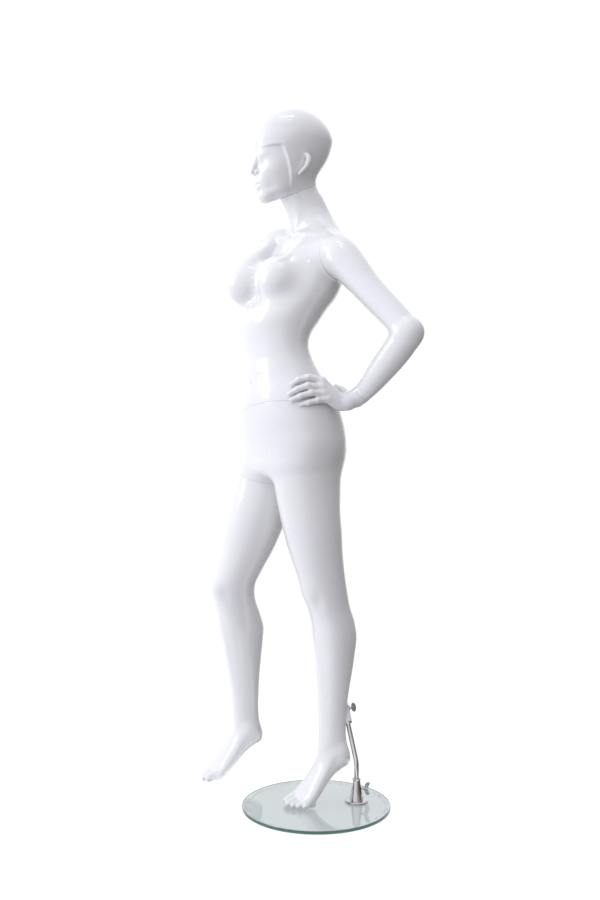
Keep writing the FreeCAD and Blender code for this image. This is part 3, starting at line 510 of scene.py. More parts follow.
def foot_field(heel, turned):
    """A foot on its toes; turned is +1 when the big toe is on the -X side."""
    sole = level_tube([(row[0], -turned * row[1], -row[2]) + row[3:] for row in FOOT])
    toes = []
    for (side_root, out_root, high_root), (side_tip, out_tip, high_tip), root, tip in TOES:
        start = (heel[0] - turned * side_root, heel[1] - out_root, SOLE + high_root)
        end = (heel[0] - turned * side_tip, heel[1] - out_tip, SOLE + high_tip)
        middle = [0.5 * (a + b) for a, b in zip(start, end)]
        middle[2] += 3.0
        toes.append(tube([start + (root,), tuple(middle) + (0.5 * (root + tip) - 0.8,), end + (tip,)]))
    bone_in = ellipsoid((heel[0] - turned * 26, heel[1] - 42, SOLE + 132), (10, 14, 15))
    bone_out = ellipsoid((heel[0] + turned * 26, heel[1] - 34, SOLE + 122), (10, 13, 15))

    def field(p):
        forward = heel[1] - p[:, 1]
        q = np.stack([-(p[:, 0] - heel[0]), SOLE - p[:, 2], forward], axis=1)
        d = sole(q)
        d = smooth_max(d, -2.0 - forward, 8)
        d = smooth_max(d, forward - 150.0, 10)
        row = np.full(len(p), FAR)
        for toe in toes:
            row = smooth_min(row, toe(p), 2.0)
        d = smooth_min(d, row, 7)
        for bone in (bone_in, bone_out):
            d = smooth_min(d, bone(p), 16)
        return np.maximum(d, SOLE - p[:, 2])

    return field


# The round wall that holds the rod's tube, its flat end a little above the chrome ring.
ROD_DIRECTION = np.array((-0.3206, -0.0565, 0.9455))
BOSS_START = np.array((3.7, 93.1, 209.8))
BOSS_RADIUS = 11.6
calf_boss = tube([(5.6, 93.4, 204.1, BOSS_RADIUS), (-29.3, 87.3, 307.2, BOSS_RADIUS)])


def boss_field(p):
    return np.maximum(calf_boss(p), (BOSS_START - p) @ ROD_DIRECTION)


left_tube = level_tube(LEFT_LEG)
right_tube = level_tube(RIGHT_LEG)
left_foot = foot_field(LEFT_HEEL, 1)
right_foot = foot_field(RIGHT_HEEL, -1)


LEFT_SHIN = tube([(-18, 24, 470, 16), (-17, 28, 380, 14), (-13, 32, 260, 13), (-10, 32, 180, 12)])
RIGHT_SHIN = tube([(-260, -134, 470, 16), (-274, -112, 380, 14), (-294, -80, 260, 13), (-303, -66, 180, 12)])
LEFT_KNEE = (-17, 0, 538)
RIGHT_KNEE = (-247, -152, 540)
ANKLE_HEIGHT = 108.0
HIP_TOP = 990.0
HIP_BOTTOM = 844.0


def leg_shape(p, tube_field, foot, knee, shin):
    """One leg with knee, shin and foot."""
    d = smooth_max(tube_field(p), ANKLE_HEIGHT - p[:, 2], 14)
    x, y, z = knee
    cap = bump(p, (x, y - 16, z), (24, 20, 30))
    hollows = bump(p, (x - 31, y + 2, z), (12, 18, 28)) + bump(p, (x + 31, y + 2, z), (12, 18, 28))
    d = d + 3.0 * hollows - 3.0 * cap
    d = smooth_min(d, shin(p), 8)
    return smooth_min(d, foot(p), 20)


def left_leg_field(p):
    return smooth_min(leg_shape(p, left_tube, left_foot, LEFT_KNEE, LEFT_SHIN), boss_field(p), 6)


def right_leg_field(p):
    return leg_shape(p, right_tube, right_foot, RIGHT_KNEE, RIGHT_SHIN)


def hip_block(p):
    """The trunk without what lies below the hips."""
    return smooth_max(trunk_field(p), HIP_BOTTOM - p[:, 2], 24)


def hips_field(p):
    """Hips with both thighs, which join the hips but not each other."""
    hips = hip_block(p)
    left = smooth_min(smooth_max(left_leg_field(p), p[:, 2] - HIP_TOP, 16), hips, 26)
    stub = smooth_max(smooth_max(right_tube(p), 800.0 - p[:, 2], 4), p[:, 2] - HIP_TOP, 16)
    return np.minimum(left, smooth_min(stub, hips, 26))


def thigh_and_leg_field(p):
    """The right leg, with the part of the hips below its seam."""
    return np.maximum(smooth_min(right_leg_field(p), hip_block(p), 26), p[:, 0] - CROTCH_X)


def head_local(p):
    """Points in the head's own frame: to her left, backwards, up."""
    q = p - np.array(HEAD_ORIGIN, float)
    c, s = math.cos(HEAD_TURN), math.sin(HEAD_TURN)
    return np.stack([c * q[:, 0] - s * q[:, 1], s * q[:, 0] + c * q[:, 1], q[:, 2]], axis=1)


skull_side = level_tube(SKULL)
cranium = ellipsoid(*CRANIUM)


def skull(q):
    """The sides and back of the head, which turn into the round top of the skull."""
    share = eased(np.clip((q[:, 2] - 12.0) / 34.0, 0, 1))
    return (1 - share) * skull_side(q) + share * cranium(q)


def mask_edge(q):
    """Distance outside the flat face, whose rim runs over the brow and down before the ears."""
    forward = -q[:, 1]
    h = q[:, 2]
    back_line = np.interp(h, [-140, -78, -56, -28, -8, 20], [20, 32, 38, 48, 56, 64])
    top_line = -5.0 - 0.0012 * (forward - 70.0) ** 2
    return smooth_max(back_line - forward, h - top_line, 7)


NOSE = tube([(0, -101, -22, 5.0), (0, -104, -38, 5.5), (0, -109, -54, 6.5), (0, -112, -63, 7.2)])
NOSE_WINGS = [(9, -102, -66), (-9, -102, -66)]
UPPER_LIP = tube([(-22, -84, -94, 2.2), (-9, -96.5, -90, 4.4), (0, -99.5, -91, 4.2), (9, -96.5, -90, 4.4),
                  (22, -84, -94, 2.2)])
LOWER_LIP = tube([(-20, -83, -97, 2.4), (-8, -93.5, -102, 5.2), (0, -96, -103.5, 5.6), (8, -93.5, -102, 5.2),
                  (20, -83, -97, 2.4)])
MOUTH = tube([(-22, -89, -95, 0.7), (0, -104, -97, 0.7), (22, -89, -95, 0.7)])
EAR_FLAP = tube([(78, 6, -26, 5.6), (80, 9, -33, 7.0), (80.5, 9, -43, 7.8), (79, 3, -56, 7.2),
                 (76, -6, -67, 5.6), (72.5, -12, -74, 4.0)])


def sides(q, centre, sizes):
    """A hill on both sides of the face."""
    x, y, z = centre
    return bump(q, (x, y, z), sizes) + bump(q, (-x, y, z), sizes)


def head_field(p):
    q = head_local(p)
    d = skull(q)
    d = smooth_max(d, -134.0 - q[:, 2], 16)
    edge = mask_edge(q)
    forward = -q[:, 1]
    fade = np.clip((q[:, 2] + 112.0) / 40.0, 0, 1) * np.clip((104.0 - forward) / 22.0, 0, 1)
    step = 1.0 / (1.0 + np.exp(-edge / 1.1))
    raised = step * np.exp(-np.maximum(edge, 0) / 24.0)
    d = d - fade * (4.2 * raised - 2.6 * (1 - step))
    d = d + 5.0 * sides(q, (27, -98, -44), (15, 22, 15))
    d = d - 2.2 * sides(q, (30, -96, -22), (22, 20, 9))
    d = d - 1.8 * sides(q, (40, -78, -66), (16, 24, 15))
    d = d + 2.5 * sides(q, (36, -70, -100), (14, 20, 18))
    d = smooth_min(d, ellipsoid((0, -72, -126), (23, 20, 15))(q), 16)
    d = smooth_min(d, ellipsoid((0, -78, -92), (26, 20, 22))(q), 14)
    d = smooth_min(d, NOSE(q), 9)
    for wing in NOSE_WINGS:
        d = smooth_min(d, ellipsoid(wing, (6, 7.5, 5.5))(q), 5)
    d = smooth_min(d, UPPER_LIP(q), 5)
    d = smooth_min(d, LOWER_LIP(q), 5)
    d = smooth_max(d, -MOUTH(q), 2.2)
    mirrored = np.stack([np.abs(q[:, 0]), q[:, 1], q[:, 2]], axis=1)
    d = smooth_min(d, EAR_FLAP(mirrored), 4)
    d = d + 3.0 * bump(mirrored, (72, -7, -48), (9, 9, 16))
    return smooth_min(d, neck_field(p), 12)


def hand_field(fingers, wrist, palm_middle, heel, ball):
    """A hand: bones of the palm blended together, then the fingers."""
    wrist = np.array(wrist, float)
    bones = []
    chains = []
    for name, (knuckle, middle, last, tip, root, end) in fingers.items():
        knuckle = np.array(knuckle, float)
        step = (root - end) / 3.0
        radii = (root + 0.4, root - 0.4 * step, root - 1.5 * step, end)
        points = [tuple(q) + (r,) for q, r in zip((knuckle, middle, last, tip), radii)]
        chains.append([tube(points[k:k + 2]) for k in range(3)])
        centre = 0.55 * wrist + 0.45 * knuckle if name == "thumb" else palm_middle(knuckle)
        bones.append(tube([tuple(wrist) + (15.5,), tuple(centre) + (11.5,), tuple(knuckle) + (root + 1.0,)]))

    def field(p):
        d = smooth_min(heel(p), ball(p), 12)
        for bone in bones:
            d = smooth_min(d, bone(p), 12)
        row = np.full(len(p), FAR)
        for chain in chains:
            finger = smooth_min(chain[0](p), chain[1](p), 3)
            finger = smooth_min(finger, chain[2](p), 3)
            row = smooth_min(row, finger, 3.0)
        return smooth_min(d, row, 7)

    return field


def left_palm_middle(knuckle):
    """The palm of the bent hand sags below the line from wrist to knuckle."""
    return np.array((80.0, 28.0, 1048.0 + 0.45 * (knuckle[2] - 1090.0)))


def right_palm_middle(knuckle):
    return 0.55 * np.array(RIGHT_WRIST_CENTRE, float) + 0.45 * knuckle


left_palm = hand_field(LEFT_FINGERS, LEFT_WRIST_CENTRE, left_palm_middle,
                       ellipsoid((88, 45, 1036), (13, 16, 18)), ellipsoid((90, 53, 1046), (13, 14, 15)))
right_palm = hand_field(RIGHT_FINGERS, RIGHT_WRIST_CENTRE, right_palm_middle,
                        ellipsoid((-309, -3, 949), (16, 16, 20)), ellipsoid((-306, -19, 976), (15, 15, 18)))


def left_hand_field(p):
    return smooth_min(left_palm(p), left_lower(p), 8)


def right_hand_field(p):
    return smooth_min(right_palm(p), right_whole(p), 8)


# ---------------------------------------------------------------- meshing
BLOCK = 8
BLOCKS_AT_ONCE = 256
BLOCK_REACH = 1.2
SLOPE_STEP = 0.4


def sample(field, low, high, cell, warp):
    """Field values on a grid, worked out only in the blocks near the surface."""
    size = cell * BLOCK
    blocks = np.ceil((np.array(high, float) - low) / size).astype(int)
    index = np.indices(blocks).reshape(3, -1).T
    middles = low + (index * BLOCK + 0.5 * (BLOCK - 1)) * cell
    coarse = field(warp(middles)).reshape(blocks)
    values = coarse
    for axis in range(3):
        values = np.repeat(values, BLOCK, axis=axis)
    near = np.argwhere(np.abs(coarse) < size * BLOCK_REACH)
    offsets = np.indices((BLOCK, BLOCK, BLOCK)).reshape(3, -1).T
    for start in range(0, len(near), BLOCKS_AT_ONCE):
        cells = (near[start:start + BLOCKS_AT_ONCE, None, :] * BLOCK + offsets[None]).reshape(-1, 3)
        values[tuple(cells.T)] = field(warp(low + cells * cell))
    return values


def surface_nets(values):
    """Vertices in grid units and quads of the surface where the values change sign."""
    inside = values < 0
    shape = np.array(values.shape) - 1

    def corner(array, offset):
        return array[tuple(slice(start, start + length) for start, length in zip(offset, shape))]

    corners = [(i, j, k) for i in (0, 1) for j in (0, 1) for k in (0, 1)]
    total = sum(corner(inside, c).astype(np.int8) for c in corners)
    active = (total > 0) & (total < 8)
    cells = np.argwhere(active)
    number = np.full(tuple(shape), -1, np.int64)
    number[active] = np.arange(len(cells))
    position = np.zeros((len(cells), 3))
    crossings = np.zeros(len(cells))
    for a in corners:
        for axis in range(3):
            if a[axis]:
                continue
            b = tuple(v + (n == axis) for n, v in enumerate(a))
            start = values[tuple((cells + a).T)]
            end = values[tuple((cells + b).T)]
            crossed = (start < 0) != (end < 0)
            share = np.where(crossed, start / np.where(crossed, start - end, 1.0), 0.0)
            point = np.array(a, float)[None, :] + share[:, None] * (np.array(b) - np.array(a))[None, :]
            position += np.where(crossed[:, None], point, 0.0)
            crossings += crossed
    vertices = cells + position / crossings[:, None]
    quads = []
    for axis in range(3):
        u, v = [n for n in range(3) if n != axis]
        low = [slice(1, -1)] * 3
        high = [slice(1, -1)] * 3
        low[axis] = slice(0, -1)
        high[axis] = slice(1, None)
        start = inside[tuple(low)]
        end = inside[tuple(high)]
        edges = np.argwhere(start != end)
        base = edges + 1
        base[:, axis] = edges[:, axis]
        outward = start[tuple(edges.T)]
        step_u = np.eye(3, dtype=int)[u]
        step_v = np.eye(3, dtype=int)[v]
        steps = (0 * step_u, step_u, step_u + step_v, step_v)
        ring = np.stack([number[tuple((base - step).T)] for step in steps], axis=1)
        turn = outward if axis != 1 else ~outward
        ring[~turn] = ring[~turn][:, ::-1]
        quads.append(ring)
    return vertices, np.concatenate(quads)


def straight(points):
    return points


def shape_mesh(field, low, high, cell, warp=straight):
    """Vertices (mm) and quads of a field's surface, moved onto it."""
    cell = cell * COARSER
    low = np.array(low, float)
    vertices, quads = surface_nets(sample(field, low, high, cell, warp))
    points = warp(low + vertices * cell)
    for _ in range(2):
        value = field(points)
        slope = np.zeros_like(points)
        for axis in range(3):
            step = np.zeros(3)
            step[axis] = SLOPE_STEP
            slope[:, axis] = (field(points + step) - value) / SLOPE_STEP
        size = np.maximum(np.einsum("ij,ij->i", slope, slope), 0.05)
        move = np.clip(value / size, -cell, cell)
        points -= move[:, None] * slope
    return points, quads


def mesh_to_bmesh(points, quads):
    data = bpy.data.meshes.new("shell")
    data.vertices.add(len(points))
    data.vertices.foreach_set("co", (points * METRE).astype(np.float32).ravel())
    data.loops.add(len(quads) * 4)
    data.loops.foreach_set("vertex_index", quads.astype(np.int32).ravel())
    data.polygons.add(len(quads))
    data.polygons.foreach_set("loop_start", np.arange(0, len(quads) * 4, 4, dtype=np.int32))
    data.polygons.foreach_set("loop_total", np.full(len(quads), 4, np.int32))
    data.update(calc_edges=True)
    data.validate()
    bm = bmesh.new()
    bm.from_mesh(data)
    bpy.data.meshes.remove(data)
    for face in bm.faces:
        face.smooth = True
    return bm


def close_to(bm, centre, reach, side):
    """The geometry that a cut may touch: near its centre, and left of side along X."""
    faces = [face for face in bm.faces if (face.calc_center_median() - centre).length < reach]
    faces = [face for face in faces if face.calc_center_median().x < side]
    edges = dict.fromkeys(edge for face in faces for edge in face.edges)
    verts = dict.fromkeys(vert for face in faces for vert in face.verts)
    return faces + list(edges) + list(verts)


def flat_cap(bm, rim, centre, normal, fitting, is_peg):
    """Closes a cut with a flat bulkhead that has the fitting's stepped pocket in it."""
    plate, peg, depth = fitting
    across = normal.cross(Vector((0, 1, 0))).normalized()
    along = normal.cross(across)
    plate_room = plate + PLATE_CLEARANCE
    floor = PLATE_THICKNESS + PLATE_CLEARANCE
    steps = [(plate_room, 0.0), (plate_room, floor)]
    if not is_peg:
        steps += [(peg + SOCKET_TUBE_ROOM, floor), (peg + SOCKET_TUBE_ROOM, depth + SOCKET_END_ROOM)]
    rings = []
    for radius, low in steps:
        ring = []
        for k in range(POCKET_SIDES):
            angle = 2 * math.pi * k / POCKET_SIDES
            point = across * math.cos(angle) + along * math.sin(angle)
            ring.append(bm.verts.new(centre + (point * radius - normal * low) * METRE))
        rings.append(ring)
    circle = [bm.edges.new((rings[0][k], rings[0][k - 1])) for k in range(POCKET_SIDES)]
    made = bmesh.ops.triangle_fill(bm, edges=rim + circle, use_dissolve=False, normal=normal)
    faces = [item for item in made["geom"] if isinstance(item, bmesh.types.BMFace)]
    for outer, inner in zip(rings[:-1], rings[1:]):
        for k in range(POCKET_SIDES):
            faces.append(bm.faces.new((outer[k - 1], outer[k], inner[k], inner[k - 1])))
    faces.append(bm.faces.new(rings[-1]))
    for face in faces:
        face.smooth = False
    for edge in rim + circle:
        edge.smooth = False


def cut_at_seam(bm, seam, fitting, is_peg):
    """Cuts a piece flat just short of a seam, with a fine chamfer at the rim and a closed end.

    A cut across the right thigh stays off the left one.
    """
    point, normal, reach = seam
    normal = Vector(normal).normalized() * (-1.0 if is_peg else 1.0)
    centre = Vector(point) * METRE - normal * (0.5 * SEAM_GAP * METRE)
    reach = reach * METRE * CUT_MARGIN
    side = (CROTCH_X if seam is THIGH_SEAM else FAR) * METRE
    bmesh.ops.bisect_plane(bm, geom=close_to(bm, centre, reach, side), dist=1e-7,
                           plane_co=centre - normal * (RIM_CHAMFER * METRE), plane_no=normal)
    bmesh.ops.bisect_plane(bm, geom=close_to(bm, centre, reach, side), dist=1e-7,
                           plane_co=centre, plane_no=normal, clear_outer=True)

    def on_cut(vert):
        offset = vert.co - centre
        return abs(offset.dot(normal)) < ON_PLANE and offset.length < reach

    rim = [edge for edge in bm.edges if edge.is_boundary and all(on_cut(vert) for vert in edge.verts)]
    bm.normal_update()
    moves = {}
    for vert in dict.fromkeys(vert for edge in rim for vert in edge.verts):
        outward = vert.normal - normal * vert.normal.dot(normal)
        if outward.length > 1e-6:
            moves[vert] = outward.normalized() * (RIM_CHAMFER * METRE)
    for vert, move in moves.items():
        vert.co -= move
    flat_cap(bm, rim, centre, normal, fitting, is_peg)


def largest_part(bm):
    """Drops stray islands, so that the piece is one connected shell."""
    seen = set()
    islands = []
    for start in bm.verts:
        if start in seen:
            continue
        seen.add(start)
        stack = [start]
        island = []
        while stack:
            vert = stack.pop()
            island.append(vert)
            for edge in vert.link_edges:
                other = edge.other_vert(vert)
                if other not in seen:
                    seen.add(other)
                    stack.append(other)
        islands.append(island)
    islands.sort(key=len, reverse=True)
    for island in islands[1:]:
        bmesh.ops.delete(bm, geom=island, context="VERTS")


def object_from(bm, name, material):
    data = bpy.data.meshes.new(name)
    bm.to_mesh(data)
    bm.free()
    data.materials.append(material)
    made = bpy.data.objects.new(name, data)
    bpy.context.scene.collection.objects.link(made)
    return made


def shell_piece(node, body, field, low, high, cell, seams, warp=straight):
    """A glossy shell in place of a CAD node; the grid from low to high reaches past the body everywhere."""
    points, quads = shape_mesh(field, low, high, cell, warp)
    bm = mesh_to_bmesh(points, quads)
    for seam, fitting, is_peg in seams:
        cut_at_seam(bm, seam, fitting, is_peg)
    largest_part(bm)
    bmesh.ops.recalc_face_normals(bm, faces=bm.faces)
    piece = object_from(bm, node + "_shell", gloss_white)
    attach(piece, body)
    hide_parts(node)


# ---------------------------------------------------------------- materials
def new_material(name):
    material = bpy.data.materials.new(name)
    material.use_nodes = True
    shader = material.node_tree.nodes["Principled BSDF"]
    return material, shader


def add_noise(material, scale, detail=3.0):
    nodes = material.node_tree.nodes
    noise = nodes.new("ShaderNodeTexNoise")
    noise.inputs["Scale"].default_value = scale
    noise.inputs["Detail"].default_value = detail
    place = nodes.new("ShaderNodeTexCoord")
    material.node_tree.links.new(place.outputs["Object"], noise.inputs["Vector"])
    return noise


def ramp_to(material, source, low, high, target):
    """Drives a socket between two values with a texture."""
    nodes = material.node_tree.nodes
    ramp = nodes.new("ShaderNodeMapRange")
    ramp.inputs["To Min"].default_value = low
    ramp.inputs["To Max"].default_value = high
    material.node_tree.links.new(source.outputs["Fac"], ramp.inputs["Value"])
    material.node_tree.links.new(ramp.outputs["Result"], target)


def colour_to(material, source, low, high, target):
    nodes = material.node_tree.nodes
    ramp = nodes.new("ShaderNodeValToRGB")
    ramp.color_ramp.elements[0].color = low + (1,)
    ramp.color_ramp.elements[1].color = high + (1,)
    ramp.color_ramp.elements[0].position = 0.35
    ramp.color_ramp.elements[1].position = 0.65
    material.node_tree.links.new(source.outputs["Fac"], ramp.inputs["Fac"])
    material.node_tree.links.new(ramp.outputs["Color"], target)


def bump_to(material, shader, source, strength, distance):
    nodes = material.node_tree.nodes
    node = nodes.new("ShaderNodeBump")
    node.inputs["Strength"].default_value = strength
    node.inputs["Distance"].default_value = distance
    material.node_tree.links.new(source.outputs["Fac"], node.inputs["Height"])
    material.node_tree.links.new(node.outputs["Normal"], shader.inputs["Normal"])


def white_shell_material():
    """Sprayed white gel coat under a clear gloss, with the faint waviness of hand finishing."""
    material, shader = new_material("gloss_white")
    tone = add_noise(material, 3.0)
    colour_to(material, tone, (0.72, 0.72, 0.727), (0.75, 0.75, 0.755), shader.inputs["Base Color"])
    fine = add_noise(material, 60.0, 4.0)
    ramp_to(material, fine, 0.24, 0.34, shader.inputs["Roughness"])
    wave = add_noise(material, 14.0, 1.0)
    bump_to(material, shader, wave, 0.06, 0.0006)
    shader.inputs["Coat Weight"].default_value = 1.0
    shader.inputs["Coat Roughness"].default_value = 0.03
    return material


def metal_material(name, colour, darker, roughness, rougher, grain=180.0):
    material, shader = new_material(name)
    shader.inputs["Metallic"].default_value = 1.0
    tone = add_noise(material, 25.0)
    colour_to(material, tone, darker, colour, shader.inputs["Base Color"])
    fine = add_noise(material, grain, 4.0)
    ramp_to(material, fine, roughness, rougher, shader.inputs["Roughness"])
    return material


def rubber_material(name, colour, lighter, roughness, alpha=1.0):
    material, shader = new_material(name)
    shader.inputs["Alpha"].default_value = alpha
    tone = add_noise(material, 40.0)
    colour_to(material, tone, colour, lighter, shader.inputs["Base Color"])
    fine = add_noise(material, 300.0, 4.0)
    ramp_to(material, fine, roughness, roughness + 0.15, shader.inputs["Roughness"])
    bump_to(material, shader, fine, 0.3, 0.0002)
    return material


GLASS_RADIUS = 0.19
EDGE_START = GLASS_RADIUS - 0.0018
EDGE_FULL = GLASS_RADIUS - 0.0008


def glass_material():
    """Float glass: pale grey-green through its face and dark green along its ground edge."""
    material, shader = new_material("clear_glass")
    nodes = material.node_tree.nodes
    links = material.node_tree.links
    tone = add_noise(material, 6.0)
    face = nodes.new("ShaderNodeValToRGB")
    face.color_ramp.elements[0].color = (0.58, 0.63, 0.635, 1)
    face.color_ramp.elements[1].color = (0.61, 0.66, 0.665, 1)
    links.new(tone.outputs["Fac"], face.inputs["Fac"])
    place = nodes.new("ShaderNodeTexCoord")
    flat = nodes.new("ShaderNodeVectorMath")
    flat.operation = "MULTIPLY"
    flat.inputs[1].default_value = (1, 1, 0)
    links.new(place.outputs["Object"], flat.inputs[0])
    radius = nodes.new("ShaderNodeVectorMath")
    radius.operation = "LENGTH"
    links.new(flat.outputs["Vector"], radius.inputs[0])
    edge = nodes.new("ShaderNodeMapRange")
    edge.inputs["From Min"].default_value = EDGE_START
    edge.inputs["From Max"].default_value = EDGE_FULL
    links.new(radius.outputs["Value"], edge.inputs["Value"])
    mix = nodes.new("ShaderNodeMix")
    mix.data_type = "RGBA"
    mix.inputs[7].default_value = (0.045, 0.13, 0.10, 1)
    links.new(edge.outputs["Result"], mix.inputs[0])
    links.new(face.outputs["Color"], mix.inputs[6])
    links.new(mix.outputs[2], shader.inputs["Base Color"])
    clear = nodes.new("ShaderNodeMapRange")
    clear.inputs["To Min"].default_value = 1.0
    clear.inputs["To Max"].default_value = 0.25
    links.new(edge.outputs["Result"], clear.inputs["Value"])
    links.new(clear.outputs["Result"], shader.inputs["Transmission Weight"])
    shader.inputs["IOR"].default_value = 1.5
    fine = add_noise(material, 90.0)
    ramp_to(material, fine, 0.0, 0.03, shader.inputs["Roughness"])
    return material


gloss_white = white_shell_material()
chrome = metal_material("chrome_plate", (0.62, 0.60, 0.60), (0.50, 0.48, 0.48), 0.07, 0.14)
fitting_steel = metal_material("fitting_steel", (0.50, 0.50, 0.52), (0.40, 0.41, 0.43), 0.25, 0.40)
zinc = metal_material("zinc_screws", (0.52, 0.52, 0.54), (0.40, 0.41, 0.44), 0.20, 0.34)
glass = glass_material()
clear_rubber = rubber_material("clear_rubber", (0.90, 0.93, 0.92), (0.93, 0.96, 0.95), 0.30, 0.15)
black_rubber = rubber_material("black_rubber", (0.02, 0.02, 0.02), (0.035, 0.035, 0.035), 0.5)

NODE_MATERIALS = {
    "glass_base_disc": glass,
    "anti_slip_ring": clear_rubber,
    "socket_gasket": black_rubber,
    "rod_socket": chrome,
    "calf_rod": chrome,
    "socket_wing_screw": zinc,
    "calf_wing_screw": zinc,
    "calf_ferrule": chrome,
}


def node_material(node):
    if node in NODE_MATERIALS:
        return NODE_MATERIALS[node]
    return zinc if "screws" in node or "bolt" in node else fitting_steel


for node, cad_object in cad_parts.items():
    material = node_material(node)
    if not cad_object.data.materials:
        cad_object.data.materials.append(material)
    for material_slot in cad_object.material_slots:
        material_slot.material = material


# ---------------------------------------------------------------- build the shells
def tapered(top, bottom, top_z, bottom_z, narrow_x, narrow_y):
    """Grid that follows a leg and grows finer towards the foot."""
    def warp(points):
        share = np.clip((top_z - points[:, 2]) / (top_z - bottom_z), 0, 1)
        out = points.copy()
        out[:, 0] = top[0] + share * (bottom[0] - top[0]) + points[:, 0] * (1 - share * (1 - narrow_x))
        out[:, 1] = top[1] + share * (bottom[1] - top[1]) + points[:, 1] * (1 - share * (1 - narrow_y))
        return out
    return warp


shell_piece("torso", "torso", torso_field, (-285, -185, 950), (80, 135, 1640), 2.6,
            [(WAIST_SEAM, WAIST_FITTING, True), (NECK_SEAM, NECK_FITTING, False),
             (LEFT_SHOULDER_SEAM, SHOULDER_FITTING, False), (RIGHT_SHOULDER_SEAM, SHOULDER_FITTING, False)])
shell_piece("head", "head", head_field, (-185, -160, 1545), (5, 110, 1822), 1.5,
            [(NECK_SEAM, NECK_FITTING, True)])
shell_piece("left_arm", "left_arm", left_arm_field, (-25, -40, 1030), (295, 160, 1500), 2.0,
            [(LEFT_SHOULDER_SEAM, SHOULDER_FITTING, True), (LEFT_WRIST_SEAM, WRIST_FITTING, False)])
shell_piece("right_arm", "right_arm", right_arm_field, (-350, -70, 955), (-150, 90, 1530), 2.0,
            [(RIGHT_ARM_CUT, SHOULDER_FITTING, True), (RIGHT_WRIST_SEAM, WRIST_FITTING, False)])
shell_piece("left_hand", "left_hand", left_hand_field, (20, -115, 1010), (150, 125, 1125), 1.1,
            [(LEFT_WRIST_SEAM, WRIST_FITTING, True)])
shell_piece("right_hand", "right_hand", right_hand_field, (-345, -90, 770), (-275, 30, 1030), 1.1,
            [(RIGHT_WRIST_SEAM, WRIST_FITTING, True)])
left_warp = tapered((-100, -10), (-8, 4), 1070, 0, 0.40, 0.85)
shell_piece("pelvis_and_left_leg", "lower_body", hips_field, (-215, -150, 6), (190, 145, 1075), 3.2,
            [(WAIST_SEAM, WAIST_FITTING, False), (THIGH_SEAM, THIGH_FITTING, False)], warp=left_warp)
right_warp = tapered((-190, -45), (-310, -85), 900, 0, 0.60, 0.98)
shell_piece("right_leg", "right_leg", thigh_and_leg_field, (-120, -125, 6), (120, 125, 900), 2.8,
            [(THIGH_SEAM, THIGH_FITTING, True)], warp=right_warp)


# ---------------------------------------------------------------- studio
SHADE_DIRECTION = (0.52, 0.68, -0.60)
SCREEN_RIGHT = Vector((0.5, 0.866, 0))
VIEW_DIRECTION = Vector((-0.866, 0.5, 0))
FLOOR_GAP = 0.0005
FLOOR_HALF = 0.27
TUBE_LENGTH = 0.6
TUBE_WIDTH = 0.012
TUBE_POWER = 1.3


def ground():
    """A small pale floor under the base that runs into the white surroundings."""
    bm = bmesh.new()
    corners = []
    for across, away in ((-1, -1), (1, -1), (1, 1), (-1, 1)):
        place = (SCREEN_RIGHT * across + VIEW_DIRECTION * away) * FLOOR_HALF
        corners.append(bm.verts.new((place.x, place.y, -FLOOR_GAP)))
    bm.faces.new(corners)
    material, shader = new_material("studio_white")
    shader.inputs["Base Color"].default_value = (0.60, 0.60, 0.60, 1)
    shader.inputs["Roughness"].default_value = 0.9
    shader.inputs["Specular IOR Level"].default_value = 0.1
    shader.inputs["Emission Color"].default_value = (1, 1, 1, 1)
    shader.inputs["Emission Strength"].default_value = 0.70
    object_from(bm, "studio_floor", material)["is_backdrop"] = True


def area_light(name, place, turn, width, height, power, colour=(1, 1, 1)):
    data = bpy.data.lights.new(name, "AREA")
    data.shape = "RECTANGLE"
    data.size = width
    data.size_y = height
    data.energy = power
    data.color = colour
    light = bpy.data.objects.new(name, data)
    light.location = place
    light.rotation_euler = turn
    bpy.context.scene.collection.objects.link(light)


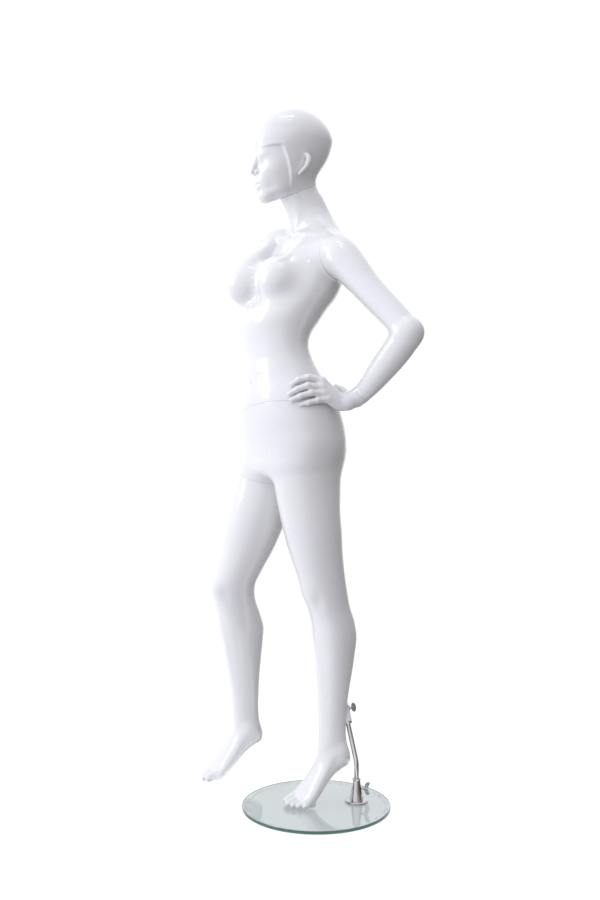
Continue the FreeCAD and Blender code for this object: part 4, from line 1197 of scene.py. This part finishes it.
def surroundings():
    """White room that is cooler at her front and dims to a warm grey behind her."""
    world = bpy.data.worlds.new("studio")
    bpy.context.scene.world = world
    world.use_nodes = True
    nodes = world.node_tree.nodes
    links = world.node_tree.links
    direction = nodes.new("ShaderNodeTexCoord")
    facing = nodes.new("ShaderNodeVectorMath")
    facing.operation = "DOT_PRODUCT"
    facing.inputs[1].default_value = SHADE_DIRECTION
    links.new(direction.outputs["Generated"], facing.inputs[0])
    ramp = nodes.new("ShaderNodeValToRGB")
    ramp.color_ramp.elements[0].position = 0.0
    ramp.color_ramp.elements[0].color = (1.08, 1.085, 1.17, 1)
    ramp.color_ramp.elements[1].position = 0.9
    ramp.color_ramp.elements[1].color = (0.13, 0.122, 0.11, 1)
    middle = ramp.color_ramp.elements.new(0.45)
    middle.color = (0.45, 0.445, 0.455, 1)
    links.new(facing.outputs["Value"], ramp.inputs["Fac"])
    behind = nodes.new("ShaderNodeVectorMath")
    behind.operation = "DOT_PRODUCT"
    behind.inputs[1].default_value = VIEW_DIRECTION
    links.new(direction.outputs["Generated"], behind.inputs[0])
    wall = nodes.new("ShaderNodeMapRange")
    wall.inputs["From Min"].default_value = 0.84
    wall.inputs["From Max"].default_value = 0.875
    links.new(behind.outputs["Value"], wall.inputs["Value"])
    mix = nodes.new("ShaderNodeMix")
    mix.data_type = "RGBA"
    mix.inputs[7].default_value = (1.0, 1.0, 1.0, 1)
    links.new(wall.outputs["Result"], mix.inputs[0])
    links.new(ramp.outputs["Color"], mix.inputs[6])
    links.new(mix.outputs[2], nodes["Background"].inputs["Color"])
    nodes["Background"].inputs["Strength"].default_value = 1.06


def studio_light():
    """A soft box in front of her, and bare ceiling tubes that show only as bright dashes in the gloss."""
    surroundings()
    place = Vector((-1.5, -2.9, 2.5))
    towards_her = (Vector((-0.1, 0, 1.25)) - place).to_track_quat("-Z", "Y").to_euler()
    area_light("front_box", place, towards_her, 1.2, 2.4, 27, (0.94, 0.95, 1.0))
    across_view = (0, 0, math.atan2(SCREEN_RIGHT.y, SCREEN_RIGHT.x))
    tubes = {"near": (0.55, -0.35, 3.1), "far": (0.15, -0.12, 3.1), "side": (1.5, -1.9, 3.0)}
    for name, centre in tubes.items():
        area_light("ceiling_tube_" + name, centre, across_view, TUBE_LENGTH, TUBE_WIDTH, TUBE_POWER)


def photo_camera():
    data = bpy.data.cameras.new("photo_camera")
    data.lens = 40.44
    data.sensor_width = 36
    data.sensor_fit = "AUTO"
    camera = bpy.data.objects.new("photo_camera", data)
    camera.location = (2.2231, -1.3314, 0.917)
    camera.rotation_euler = VIEW_DIRECTION.to_track_quat("-Z", "Y").to_euler()
    bpy.context.scene.collection.objects.link(camera)
    bpy.context.scene.camera = camera


ground()
studio_light()
photo_camera()
bpy.context.scene.view_settings.view_transform = "Standard"

new_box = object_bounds()
boxes = {"cad": CAD_BOX, "visual": new_box}
{name: [list(corner) for corner in box] for name, box in boxes.items()}
